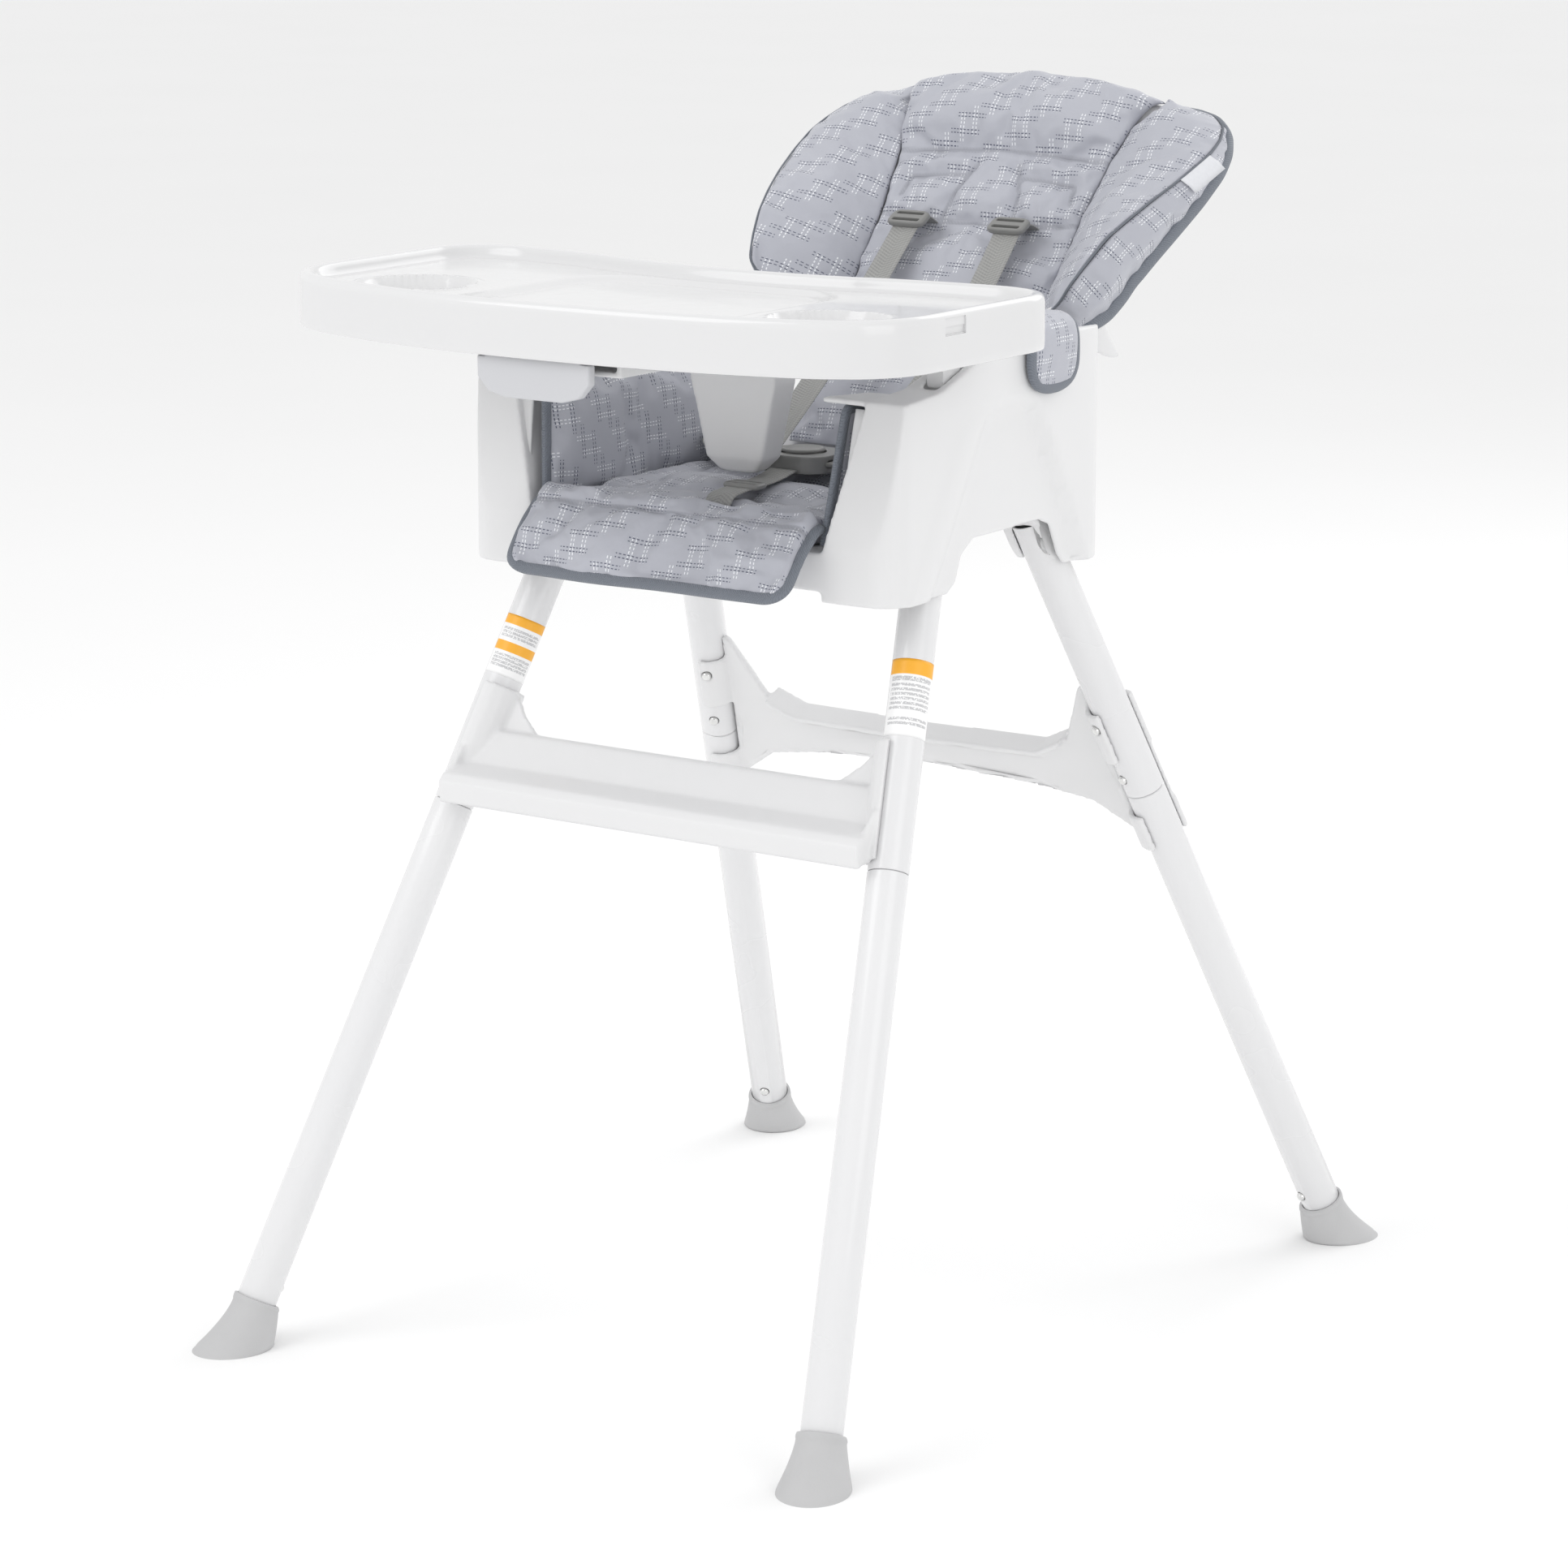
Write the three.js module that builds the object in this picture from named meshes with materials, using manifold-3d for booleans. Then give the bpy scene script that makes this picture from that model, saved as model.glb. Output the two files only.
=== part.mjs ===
// Baby high chair: four splayed tube legs, a moulded seat base with armrests, a reclining padded
// seat back, a five-point harness and a slide-on tray. Millimetres, +Z up, the child faces -Y.
// The origin is on the floor, in the middle between the four feet.
import * as THREE from 'three';
import { mergeVertices } from 'three/addons/utils/BufferGeometryUtils.js';
import Module from 'manifold-3d';

const wasm = await Module();
wasm.setup();

// Driving dimensions
const GAP = 0.35;                       // clearance between touching pieces
const WALL = 4;                         // wall of the moulded plastic shells

const TUBE_RADIUS = 16;                 // 32 mm steel leg tube
const TUBE_WALL = 1.5;
const TUBE_SIDES = 16;
const SPIGOT_RADIUS = 14.1;             // swaged top of a lower tube, inside the upper one
const SPIGOT_LENGTH = 45;
const LEG_HEIGHT = 600;                 // height at which each leg's upper plan point is given
const FRONT_LEG = { foot: [279, -377.5], top: [178, -94.9] };
const REAR_LEG = { foot: [292.5, 377.65], top: [176.5, 98.9] };
const SEAM_Z = 415;                     // joint between lower and upper tube
const TUBE_BOTTOM_Z = 9;
const TUBE_TOP_Z = 646;

const FOOT_RIM_Z = 36;
const FOOT_RIM_RADIUS = 18.6;
const FOOT_SOLE = { along: 34, across: 28.5, outward: 5 };
const FOOT_BUTTON_Z = 49;
const SEAM_BUTTON_Z = 431;
const BRACE_BUTTON_Z = 477;
const BUTTON_RADIUS = 3.8;
const BUTTON_PROUD = 3.2;

const BASE_HALF_WIDTH = 204;
const BASE_FRONT_Y = -168;
const BASE_REAR_Y = 145;
const BASE_BOTTOM_Z = 612;
const ARM_FRONT_Z = 766;
const ARM_TOP_Z = 800;
const PAN_Z = 650;                      // top of the seat pan
const BUCKET_HALF_WIDTH = 137;          // between the armrests at the pan
const BUCKET_TOP_HALF_WIDTH = 176;      // and at the top of the armrests
const REAR_WALL_TOP_Z = 668;
const GROOVE = { inner: 180, outer: 196.4, floor: 770 };

const HINGE = { y: 110, z: 683 };
const RECLINE = 38;                     // degrees from upright
const BACK_HEIGHT = 372;

const TRAY_BOTTOM_Z = 806;
const TRAY_TOP_Z = 848;
const TRAY_HALF_WIDTH = 285;
const TRAY_FLOOR_Z = 830;
const TRAY_DISH_Z = 834;

const BUCKLE = { x: 22, y: -26, z: 686 };

// Materials
const finish = (color, roughness, metalness = 0) =>
  new THREE.MeshStandardMaterial({ color, roughness, metalness });
const whitePlastic = finish(0xf2f2f0, 0.35);
const whitePaint = finish(0xf5f5f4, 0.3);
const greyPlastic = finish(0xccced2, 0.45);
const darkPlastic = finish(0x8b8b88, 0.5);
const rubber = finish(0xc6c6c7, 0.75);
const chrome = finish(0xc9c9c7, 0.2, 1);
const fabric = finish(0xb4b6c2, 0.8);
const webbing = finish(0x969694, 0.85);

const chair = new THREE.Group();

// A closed three.js geometry as a solid that can be joined and cut
function solid(geometry) {
  const bare = geometry.clone();
  for (const name of ['normal', 'uv']) bare.deleteAttribute(name);
  const merged = mergeVertices(bare, 1e-3);
  return new wasm.Manifold(new wasm.Mesh({
    numProp: 3,
    vertProperties: new Float32Array(merged.attributes.position.array),
    triVerts: new Uint32Array(merged.index.array),
  }));
}

function surface(body) {
  const mesh = body.getMesh();
  const geometry = new THREE.BufferGeometry();
  geometry.setAttribute('position', new THREE.BufferAttribute(mesh.vertProperties, 3));
  geometry.setIndex(new THREE.BufferAttribute(mesh.triVerts, 1));
  return geometry;
}

function addPart(name, shape, material, parent = chair) {
  const geometry = shape.isBufferGeometry ? shape : surface(shape);
  const mesh = new THREE.Mesh(geometry, material);
  mesh.name = name;
  parent.add(mesh);
  return mesh;
}

const joinAll = (bodies) => bodies.reduce((sum, body) => sum.add(body));

// Outlines and prisms
const outline = (points) => new THREE.Shape(points.map(([a, b]) => new THREE.Vector2(a, b)));

function extrude(shape, depth, basis, origin, curveSegments = 4) {
  const geometry = new THREE.ExtrudeGeometry(shape, { depth, bevelEnabled: false, curveSegments });
  geometry.applyMatrix4(new THREE.Matrix4().makeBasis(...basis));
  return geometry.translate(...origin);
}
const X = new THREE.Vector3(1, 0, 0);
const Y = new THREE.Vector3(0, 1, 0);
const Z = new THREE.Vector3(0, 0, 1);
const prismX = (shape, x0, x1) => extrude(shape, x1 - x0, [Y, Z, X], [x0, 0, 0]);
const prismY = (shape, y0, y1) => extrude(shape, y1 - y0, [X, Z, Y.clone().negate()], [0, y1, 0]);
const prismZ = (shape, z0, z1) => extrude(shape, z1 - z0, [X, Y, Z], [0, 0, z0]);

function block([x0, x1], [y0, y1], [z0, z1]) {
  const geometry = new THREE.BoxGeometry(x1 - x0, y1 - y0, z1 - z0);
  return geometry.translate((x0 + x1) / 2, (y0 + y1) / 2, (z0 + z1) / 2);
}

function rod(radius, from, to, segments = 16) {
  const start = new THREE.Vector3(...from);
  const along = new THREE.Vector3(...to).sub(start);
  const geometry = new THREE.CylinderGeometry(radius, radius, along.length(), segments);
  geometry.translate(0, along.length() / 2, 0);
  const turn = new THREE.Quaternion().setFromUnitVectors(Y, along.clone().normalize());
  return geometry.applyQuaternion(turn).translate(...from);
}

// Rectangle with rounded corners, between two corner points
function roundedRectangle([a0, b0], [a1, b1], radius) {
  const shape = new THREE.Shape();
  shape.moveTo(a0 + radius, b0);
  shape.lineTo(a1 - radius, b0);
  shape.absarc(a1 - radius, b0 + radius, radius, -Math.PI / 2, 0, false);
  shape.absarc(a1 - radius, b1 - radius, radius, 0, Math.PI / 2, false);
  shape.absarc(a0 + radius, b1 - radius, radius, Math.PI / 2, Math.PI, false);
  shape.absarc(a0 + radius, b0 + radius, radius, Math.PI, 1.5 * Math.PI, false);
  return shape;
}

// Closed solid through a stack of rings, each ring a list of the same number of points
function loft(rings) {
  const count = rings[0].length;
  const points = rings.flat();
  const first = points.length;
  const centre = (ring) => ring.reduce((sum, p) => sum.add(p), new THREE.Vector3())
    .divideScalar(count);
  points.push(centre(rings[0]), centre(rings.at(-1)));
  const faces = [];
  const top = (rings.length - 1) * count;
  for (let i = 0; i < count; i++) {
    const next = (i + 1) % count;
    faces.push(first, next, i, first + 1, top + i, top + next);
    for (let row = 0; row < top; row += count) {
      faces.push(row + i, row + next, row + count + next);
      faces.push(row + i, row + count + next, row + count + i);
    }
  }
  const geometry = new THREE.BufferGeometry().setFromPoints(points);
  geometry.setIndex(faces);
  return geometry;
}

// Value at t of a curve given as [t, value] stations
function interpolate(stations, t) {
  const last = stations.length - 1;
  const next = Math.max(1, stations.findIndex(([s], i) => s >= t || i === last));
  const [t0, v0] = stations[next - 1];
  const [t1, v1] = stations[next];
  const share = THREE.MathUtils.clamp((t - t0) / (t1 - t0), 0, 1);
  return v0 + (v1 - v0) * share;
}

// Legs. A leg's own frame has z up the tube and x towards the middle of the chair.
function makeLeg(name, plan, side) {
  const foot = new THREE.Vector3(side * plan.foot[0], plan.foot[1], 0);
  const top = new THREE.Vector3(side * plan.top[0], plan.top[1], LEG_HEIGHT);
  const up = top.clone().sub(foot).normalize();
  const inward = new THREE.Vector3(up.x, up.y, 0).normalize();
  const x = inward.clone().addScaledVector(up, -inward.dot(up)).normalize();
  const y = up.clone().cross(x);
  const group = new THREE.Group();
  group.position.copy(foot);
  group.quaternion.setFromRotationMatrix(new THREE.Matrix4().makeBasis(x, y, up));
  group.updateMatrixWorld();
  chair.add(group);
  return {
    name, side, group, inward, foot,
    centreSide: Math.sign(-side * y.x),
    along: (z) => z / up.z,
    place: (geometry) => geometry.clone().applyMatrix4(group.matrixWorld),
  };
}
const legs = [
  makeLeg('front_left', FRONT_LEG, -1), makeLeg('front_right', FRONT_LEG, 1),
  makeLeg('rear_left', REAR_LEG, -1), makeLeg('rear_right', REAR_LEG, 1),
];
const [frontLegs, rearLegs] = [legs.slice(0, 2), legs.slice(2)];

function tube(outer, inner, from, to) {
  const profile = [[inner, from], [outer, from], [outer, to], [inner, to], [inner, from]];
  const points = profile.map(([r, h]) => new THREE.Vector2(r, h));
  return new THREE.LatheGeometry(points, TUBE_SIDES).rotateX(Math.PI / 2);
}

// Foot: a rubber boot, steep at the heel and flared at the toe, with a plug inside the tube
function makeFoot(leg) {
  const sides = TUBE_SIDES;
  const steps = 4;
  const rings = [];
  for (let row = 0; row <= steps; row++) {
    const rise = row / steps;
    const spread = (1 - rise) ** 1.5;
    const ring = [];
    for (let i = 0; i < sides; i++) {
      const angle = (2 * Math.PI * i) / sides;
      const rim = new THREE.Vector3(
        FOOT_RIM_RADIUS * Math.cos(angle), FOOT_RIM_RADIUS * Math.sin(angle), leg.along(FOOT_RIM_Z),
      ).applyMatrix4(leg.group.matrixWorld);
      const across = Z.clone().cross(leg.inward);
      const sole = leg.foot.clone()
        .addScaledVector(leg.inward, FOOT_SOLE.along * Math.cos(angle) - FOOT_SOLE.outward)
        .addScaledVector(across, FOOT_SOLE.across * Math.sin(angle));
      const point = rim.clone().lerp(sole, spread);
      point.z = rim.z * rise;
      ring.push(point);
    }
    rings.push(ring);
  }
  const socket = leg.place(tube(TUBE_RADIUS + GAP, SPIGOT_RADIUS, leg.along(TUBE_BOTTOM_Z), 80));
  const boot = solid(loft(rings)).subtract(solid(socket));
  return boot;
}

// Snap button: a domed pin with a flange, pressed outwards from inside the tube
function makeButton(reach, flange) {
  const profile = [
    [0, flange - 1.2], [5.2, flange - 1.2], [5.2, flange], [BUTTON_RADIUS, flange],
    [BUTTON_RADIUS, reach - 1.2], [0, reach],
  ].map(([r, h]) => new THREE.Vector2(r, h));
  return new THREE.LatheGeometry(profile, 10).rotateZ(-Math.PI / 2);
}
const buttonHole = (z) => solid(rod(BUTTON_RADIUS + 0.7, [0, 0, z], [30, 0, z], 10));

for (const leg of legs) {
  const seam = leg.along(SEAM_Z);
  const footButton = leg.along(FOOT_BUTTON_Z);
  const seamButton = leg.along(SEAM_BUTTON_Z);
  const braceButton = leg.along(BRACE_BUTTON_Z);
  const braced = rearLegs.includes(leg);
  const bore = TUBE_RADIUS - TUBE_WALL;
  const bottom = leg.along(TUBE_BOTTOM_Z) + GAP;

  addPart(`foot_${leg.name}`, makeFoot(leg), rubber);
  const lower = solid(tube(TUBE_RADIUS, bore, bottom, seam))
    .add(solid(tube(SPIGOT_RADIUS, SPIGOT_RADIUS - TUBE_WALL, seam - 8, seam + SPIGOT_LENGTH)))
    .add(solid(tube(bore + 0.2, SPIGOT_RADIUS - TUBE_WALL, seam - 10, seam - 1)));
  addPart(`lower_leg_${leg.name}`,
    lower.subtract(buttonHole(footButton)).subtract(buttonHole(seamButton)),
    whitePaint, leg.group);
  const upper = solid(tube(TUBE_RADIUS, bore, seam + GAP, leg.along(TUBE_TOP_Z)))
    .subtract(buttonHole(seamButton));
  addPart(`upper_leg_${leg.name}`,
    braced ? upper.subtract(buttonHole(braceButton)) : upper, whitePaint, leg.group);

  const reach = TUBE_RADIUS + BUTTON_PROUD;
  addPart(`foot_button_${leg.name}`, makeButton(reach, 13), chrome, leg.group)
    .position.z = footButton;
  addPart(`leg_button_${leg.name}`, makeButton(reach, 11.2), chrome, leg.group)
    .position.z = seamButton;
  if (braced) {
    addPart(`brace_button_${leg.name}`, makeButton(21.6 + BUTTON_PROUD - 1, 13), chrome, leg.group)
      .position.z = braceButton;
  }
}

// Half sleeve that wraps a leg on its centre side and is open on the other
function sleeve(leg, from, to, radius = 21.6) {
  const [z0, z1] = [leg.along(from), leg.along(to)];
  const side = leg.centreSide;
  const cut = side > 0 ? [-40, -7] : [7, 40];
  const shell = solid(rod(radius, [0, 0, z0], [0, 0, z1], TUBE_SIDES))
    .subtract(solid(rod(TUBE_RADIUS + 0.8, [0, 0, z0 - 1], [0, 0, z1 + 1], TUBE_SIDES)))
    .subtract(solid(block([-40, 40], cut, [z0 - 1, z1 + 1])));
  return shell.transform(leg.group.matrixWorld.elements);
}

// Sloping plane through a pair of legs: x across, z up the slope from the floor
function legPlane(plan) {
  const rise = plan.top[1] - plan.foot[1];
  const group = new THREE.Group();
  group.position.set(0, plan.foot[1], 0);
  group.rotation.x = -Math.atan2(rise, LEG_HEIGHT);
  group.updateMatrixWorld();
  const length = Math.hypot(rise, LEG_HEIGHT);
  return { matrix: group.matrixWorld.elements, up: (z) => (z * length) / LEG_HEIGHT };
}
const tubes = (pair) => joinAll(pair.map((leg) =>
  solid(leg.place(rod(TUBE_RADIUS + 0.8, [0, 0, 100], [0, 0, 700], TUBE_SIDES)))));

// Footrest: a step with a rolled front lip, whose ends sweep up the front legs
{
  const stepProfile = outline([
    [-155, 474], [-163, 474], [-184, 451], [-206, 446], [-212, 439], [-211, 422],
    [-207, 422], [-207, 437], [-182, 444], [-166, 460], [-160, 452], [-155, 452],
  ]);
  const step = solid(prismX(stepProfile, -201, 201));
  const plane = legPlane(FRONT_LEG);
  const wing = (side) => solid(prismY(outline([
    [206 * side, plane.up(424)], [193 * side, plane.up(503)], [176 * side, plane.up(503)],
    [162 * side, plane.up(486)], [146 * side, plane.up(474)], [120 * side, plane.up(470)],
    [120 * side, plane.up(446)],
  ]), -2, 3)).transform(plane.matrix);
  const cheek = (side) => solid(prismX(outline([
    [-207, 440], [-211, 424], [-160, 424], [-152, 446], [-166, 474], [-186, 462],
  ]), Math.min(side * 196, side * 201), Math.max(side * 196, side * 201)));
  const body = joinAll([
    step, wing(-1), wing(1), cheek(-1), cheek(1), ...frontLegs.map((leg) => sleeve(leg, 421, 505)),
  ]);
  const buttons = joinAll(frontLegs.map((leg) => solid(leg.place(
    rod(6, [0, 0, leg.along(SEAM_BUTTON_Z)], [40, 0, leg.along(SEAM_BUTTON_Z)], 12)))));
  addPart('footrest', body.subtract(tubes(frontLegs)).subtract(buttons), whitePlastic);
}

// Rear brace: an arched bar with two clips on each rear leg
{
  const plane = legPlane(REAR_LEG);
  const arch = outline([
    [-219, 374], [-196, 376], [-160, 398], [-110, 405], [0, 411], [110, 405], [160, 398],
    [196, 376], [219, 374], [211, 400], [196, 470], [188, 512], [172, 500], [148, 450],
    [120, 441], [0, 439], [-120, 441], [-148, 450], [-172, 500], [-188, 512], [-196, 470],
    [-211, 400],
  ].map(([x, z]) => [x, plane.up(z)]));
  const web = solid(prismY(arch, -4, 3)).transform(plane.matrix);
  const flange = solid(prismY(outline([
    [-146, 449], [-120, 437], [0, 435], [120, 437], [146, 449], [146, 454], [120, 442],
    [0, 440], [-120, 442], [-146, 454],
  ].map(([x, z]) => [x, plane.up(z)])), -12, 12)).transform(plane.matrix);
  const window = joinAll(rearLegs.map((leg) => solid(leg.place(
    block([-2, 40], leg.centreSide > 0 ? [-40, 17] : [-17, 40],
      [leg.along(400), leg.along(447)])))));
  const clips = rearLegs.flatMap((leg) => [sleeve(leg, 371, 400), sleeve(leg, 447, 489)]);
  const backs = rearLegs.map((leg) => sleeve(leg, 371, 489, 20));
  const holes = joinAll(rearLegs.map((leg) => solid(leg.place(
    rod(BUTTON_RADIUS + 0.7, [0, 0, leg.along(BRACE_BUTTON_Z)],
      [40, 0, leg.along(BRACE_BUTTON_Z)], 10)))));
  const body = joinAll([web, flange, ...backs]).subtract(window);
  addPart('rear_brace',
    joinAll([body, ...clips]).subtract(tubes(rearLegs)).subtract(holes), whitePlastic);
}

// Seat base: one moulding with four leg lobes, armrests and the seat pan
const bucketSection = (grow, top) => outline([
  [-BUCKET_HALF_WIDTH - grow, PAN_Z - grow], [BUCKET_HALF_WIDTH + grow, PAN_Z - grow],
  [BUCKET_TOP_HALF_WIDTH + grow, ARM_TOP_Z], [BUCKET_TOP_HALF_WIDTH + grow, top],
  [-BUCKET_TOP_HALF_WIDTH - grow, top], [-BUCKET_TOP_HALF_WIDTH - grow, ARM_TOP_Z],
]);
{
  const plan = (inset) => {
    const shape = new THREE.Shape();
    const w = BASE_HALF_WIDTH - inset;
    const front = BASE_FRONT_Y + inset;
    const rear = BASE_REAR_Y - inset;
    const rFront = 24 - inset;
    const rRear = 40 - inset;
    shape.moveTo(-w + rFront, front);
    shape.lineTo(w - rFront, front);
    shape.absarc(w - rFront, front + rFront, rFront, -Math.PI / 2, 0, false);
    shape.absarc(w - rRear, rear - rRear, rRear, 0, Math.PI / 2, false);
    shape.absarc(-w + rRear, rear - rRear, rRear, Math.PI / 2, Math.PI, false);
    shape.absarc(-w + rFront, front + rFront, rFront, Math.PI, 1.5 * Math.PI, false);
    return shape;
  };
  const topLine = (drop) => [
    [BASE_REAR_Y + 5, 796 - drop], [40, ARM_TOP_Z - drop], [-30, 798 - drop], [-62, 786 - drop],
    [-105, 770 - drop], [-152 + drop, ARM_FRONT_Z - drop],
  ];
  const side = outline([
    [-172, BASE_BOTTOM_Z], [150, BASE_BOTTOM_Z], ...topLine(0), [-170, BASE_BOTTOM_Z + 30],
  ]);
  const sideArch = (s) => solid(prismX(outline([
    [-84, 590], [-84, BASE_BOTTOM_Z], [-72, 620], [-64, 640], [-48, 650], [46, 652], [62, 646],
    [74, 622], [84, BASE_BOTTOM_Z], [84, 590],
  ]), s > 0 ? 146 : -210, s > 0 ? 210 : -146));
  const inner = outline([
    [-165, 590], [150, 590], ...topLine(WALL), [-164, BASE_BOTTOM_Z + 30],
  ]);
  const outside = solid(prismZ(plan(0), 600, 805)).intersect(solid(prismX(side, -210, 210)));
  const inside = solid(prismZ(plan(WALL), 595, 805)).intersect(solid(prismX(inner, -210, 210)));
  const bucket = solid(prismY(bucketSection(0, 820), -190, BASE_REAR_Y - WALL));
  const lining = solid(prismY(bucketSection(WALL, 820), BASE_FRONT_Y + WALL, BASE_REAR_Y));
  const sockets = joinAll(legs.map((leg) => solid(leg.place(
    rod(TUBE_RADIUS + 8, [0, 0, leg.along(BASE_BOTTOM_Z + 2)], [0, 0, leg.along(656)], TUBE_SIDES)))));
  const bores = joinAll(legs.map((leg) => solid(leg.place(
    rod(TUBE_RADIUS + 0.8, [0, 0, leg.along(560)], [0, 0, leg.along(TUBE_TOP_Z) + 1], TUBE_SIDES)))));
  const rib = (y) => solid(block([-198, 198], [y - 1.5, y + 1.5], [632, 660]));
  const ribs = [rib(-95), rib(-20), rib(98)].map((r) => r.intersect(inside).subtract(bucket));
  const tongue = (s) => solid(prismZ(outline([
    [124, -148], [180, -150], [180, -104], [140, -108],
  ].map(([x, y]) => [x * s, y])), ARM_FRONT_Z - 5, ARM_FRONT_Z));
  const recess = solid(block([-194.4, 194.4], [86, 160], [736, 820]))
    .add(solid(block([-150, 150], [100, 160], [REAR_WALL_TOP_Z, 820])));
  const rearArch = solid(block([-128, 128], [100, 160], [600, 640]));
  const groove = (s) => solid(block(
    s > 0 ? [GROOVE.inner, GROOVE.outer] : [-GROOVE.outer, -GROOVE.inner],
    [-175, -20], [GROOVE.floor, 820]));
  const pinHoles = solid(rod(4.4, [-170, HINGE.y, HINGE.z], [170, HINGE.y, HINGE.z], 16));
  const frontCut = solid(block([-BUCKET_HALF_WIDTH, BUCKET_HALF_WIDTH], [-190, -100], [590, 620]));

  let body = outside.subtract(inside.subtract(lining.add(sockets)));
  body = joinAll([body, ...ribs]);
  body = body.subtract(bucket).subtract(recess).subtract(rearArch).subtract(frontCut);
  body = body.subtract(sideArch(-1)).subtract(sideArch(1));
  body = body.add(tongue(-1)).add(tongue(1));
  body = body.subtract(groove(-1)).subtract(groove(1)).subtract(bores).subtract(pinHoles);
  const parts = body.decompose().sort((a, b) => b.volume() - a.volume());
  addPart('seat_base', parts[0], whitePlastic);
}
for (const [name, side] of [['left', -1], ['right', 1]]) {
  addPart(`hinge_pin_${name}`,
    rod(4, [side * 126, HINGE.y, HINGE.z], [side * 158, HINGE.y, HINGE.z], 16), chrome);
}

// Seat back, in its own frame: z up the back from the hinge, y to the rear
const back = new THREE.Group();
back.position.set(0, HINGE.y, HINGE.z);
back.rotation.x = THREE.MathUtils.degToRad(-RECLINE);
chair.add(back);

const backHalfWidth = [
  [-8, 118], [20, 122], [112, 122], [132, 156], [183, 170], [237, 185], [299, 196], [335, 190],
  [352, 172], [364, 128], [372, 60],
];
const backRimDepth = [[100, 0], [132, -50], [183, -46], [237, -26], [299, 4], [352, 30]];
const backRows = [60, 100, 112, 122, 132, 183, 237, 299, 335, 352, 364];
const wingStart = 0.56;                 // share of the half width where the wings turn forwards

// Front surface of the back, as its depth at a share of the half width and a height
function backDepth(share, height) {
  const wing = THREE.MathUtils.clamp((Math.abs(share) - wingStart) / (1 - wingStart), 0, 1);
  return interpolate(backRimDepth, height) * wing ** 1.3;
}
function backSlab(from, to, front, rear, inset) {
  const rings = [];
  const columns = 10;
  for (const height of [from, ...backRows.filter((h) => h > from && h < to), to]) {
    const half = interpolate(backHalfWidth, height);
    const ring = [];
    for (const [depth, order] of [[front, 1], [rear, -1]]) {
      for (let i = 0; i <= columns; i++) {
        const share = order * (-1 + (2 * i) / columns) * (1 - inset / half);
        ring.push(new THREE.Vector3(share * half, backDepth(share, height) + depth, height));
      }
    }
    rings.push(ring);
  }
  return loft(rings);
}

addPart('back_pad', backSlab(2, BACK_HEIGHT, 1, 15, 0), fabric, back);
{
  const panel = solid(backSlab(-6, BACK_HEIGHT - 8, 17, 22, 7));
  const ear = (s) => solid(block(s > 0 ? [113, 121] : [-121, -113], [-9, 16], [-9, 12]));
  const lug = (s) => solid(block(s > 0 ? [104, 121] : [-121, -104], [8, 18], [-9, 14]));
  const boss = (s) => solid(rod(10, [s * 122.5, 0, 0], [s * 134, 0, 0], 16));
  const web = (s) => solid(block(s > 0 ? [113, 134] : [-134, -113], [4, 16], [-6, 6]));
  const fin = (s) => solid(prismX(outline([
    [-26, 104], [22, 117], [26, 150], [24, 196], [-12, 204], [-20, 180], [-20, 150], [-28, 135],
    [-45, 112],
  ]), s > 0 ? 152 : -157, s > 0 ? 157 : -152));
  const bore = solid(rod(4.4, [-150, 0, 0], [150, 0, 0], 16));
  const slots = [-50, 50].map((x) => solid(block([x - 17, x + 17], [0, 40], [216, 222])));
  let body = joinAll([panel, ear(-1), ear(1), lug(-1), lug(1), boss(-1), boss(1), web(-1), web(1),
    fin(-1), fin(1)]);
  const padRoom = solid(backSlab(2, BACK_HEIGHT, -30, 15.6, 0));
  body = body.subtract(bore).subtract(joinAll(slots)).subtract(padRoom);
  const pieces = body.decompose().sort((a, b) => b.volume() - a.volume());
  addPart('seat_back_shell', pieces[0], whitePlastic, back);
}

// Recline handle behind the seat back, and the latch bar that it lifts
{
  const grip = solid(prismY(roundedRectangle([-58, 287], [58, 325], 12), 34, 46))
    .subtract(solid(prismY(roundedRectangle([-42, 298], [42, 314], 5), 30, 50)));
  const stem = solid(block([-9, 9], [34, 38], [90, 290]));
  addPart('recline_handle', grip.add(stem), greyPlastic, back);
  addPart('recline_latch', block([-70, 70], [24, 30], [48, 60]), greyPlastic, back);
}

// Soft seat: cushion, two side pads, the flap behind the child's calves and the armrest covers
addPart('seat_cushion', prismZ(roundedRectangle([-124, -156], [124, 96], 22), 650.6, 680), fabric);
addPart('leg_flap', prismX(outline([
  [-157.5, 652], [-169.5, 652], [-203, 617], [-211, 621], [-178, 672], [-157.5, 680],
]), -131, 131), fabric);
for (const [name, side] of [['left', -1], ['right', 1]]) {
  const section = outline([[128, 653], [136, 653], [148, 758], [138, 758]]
    .map(([x, z]) => [side * x, z]));
  addPart(`side_pad_${name}`, prismY(section, -128, 90), fabric);
  const cover = outline([
    [163, 790], [169, 790], [175.6, 801], [204.4, 801], [204.4, 764], [212, 762], [212, 806],
    [206, 812], [168, 812],
  ].map(([x, z]) => [side * x, z]));
  addPart(`armrest_cover_${name}`, prismY(cover, 8, 72), fabric);
}

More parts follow.
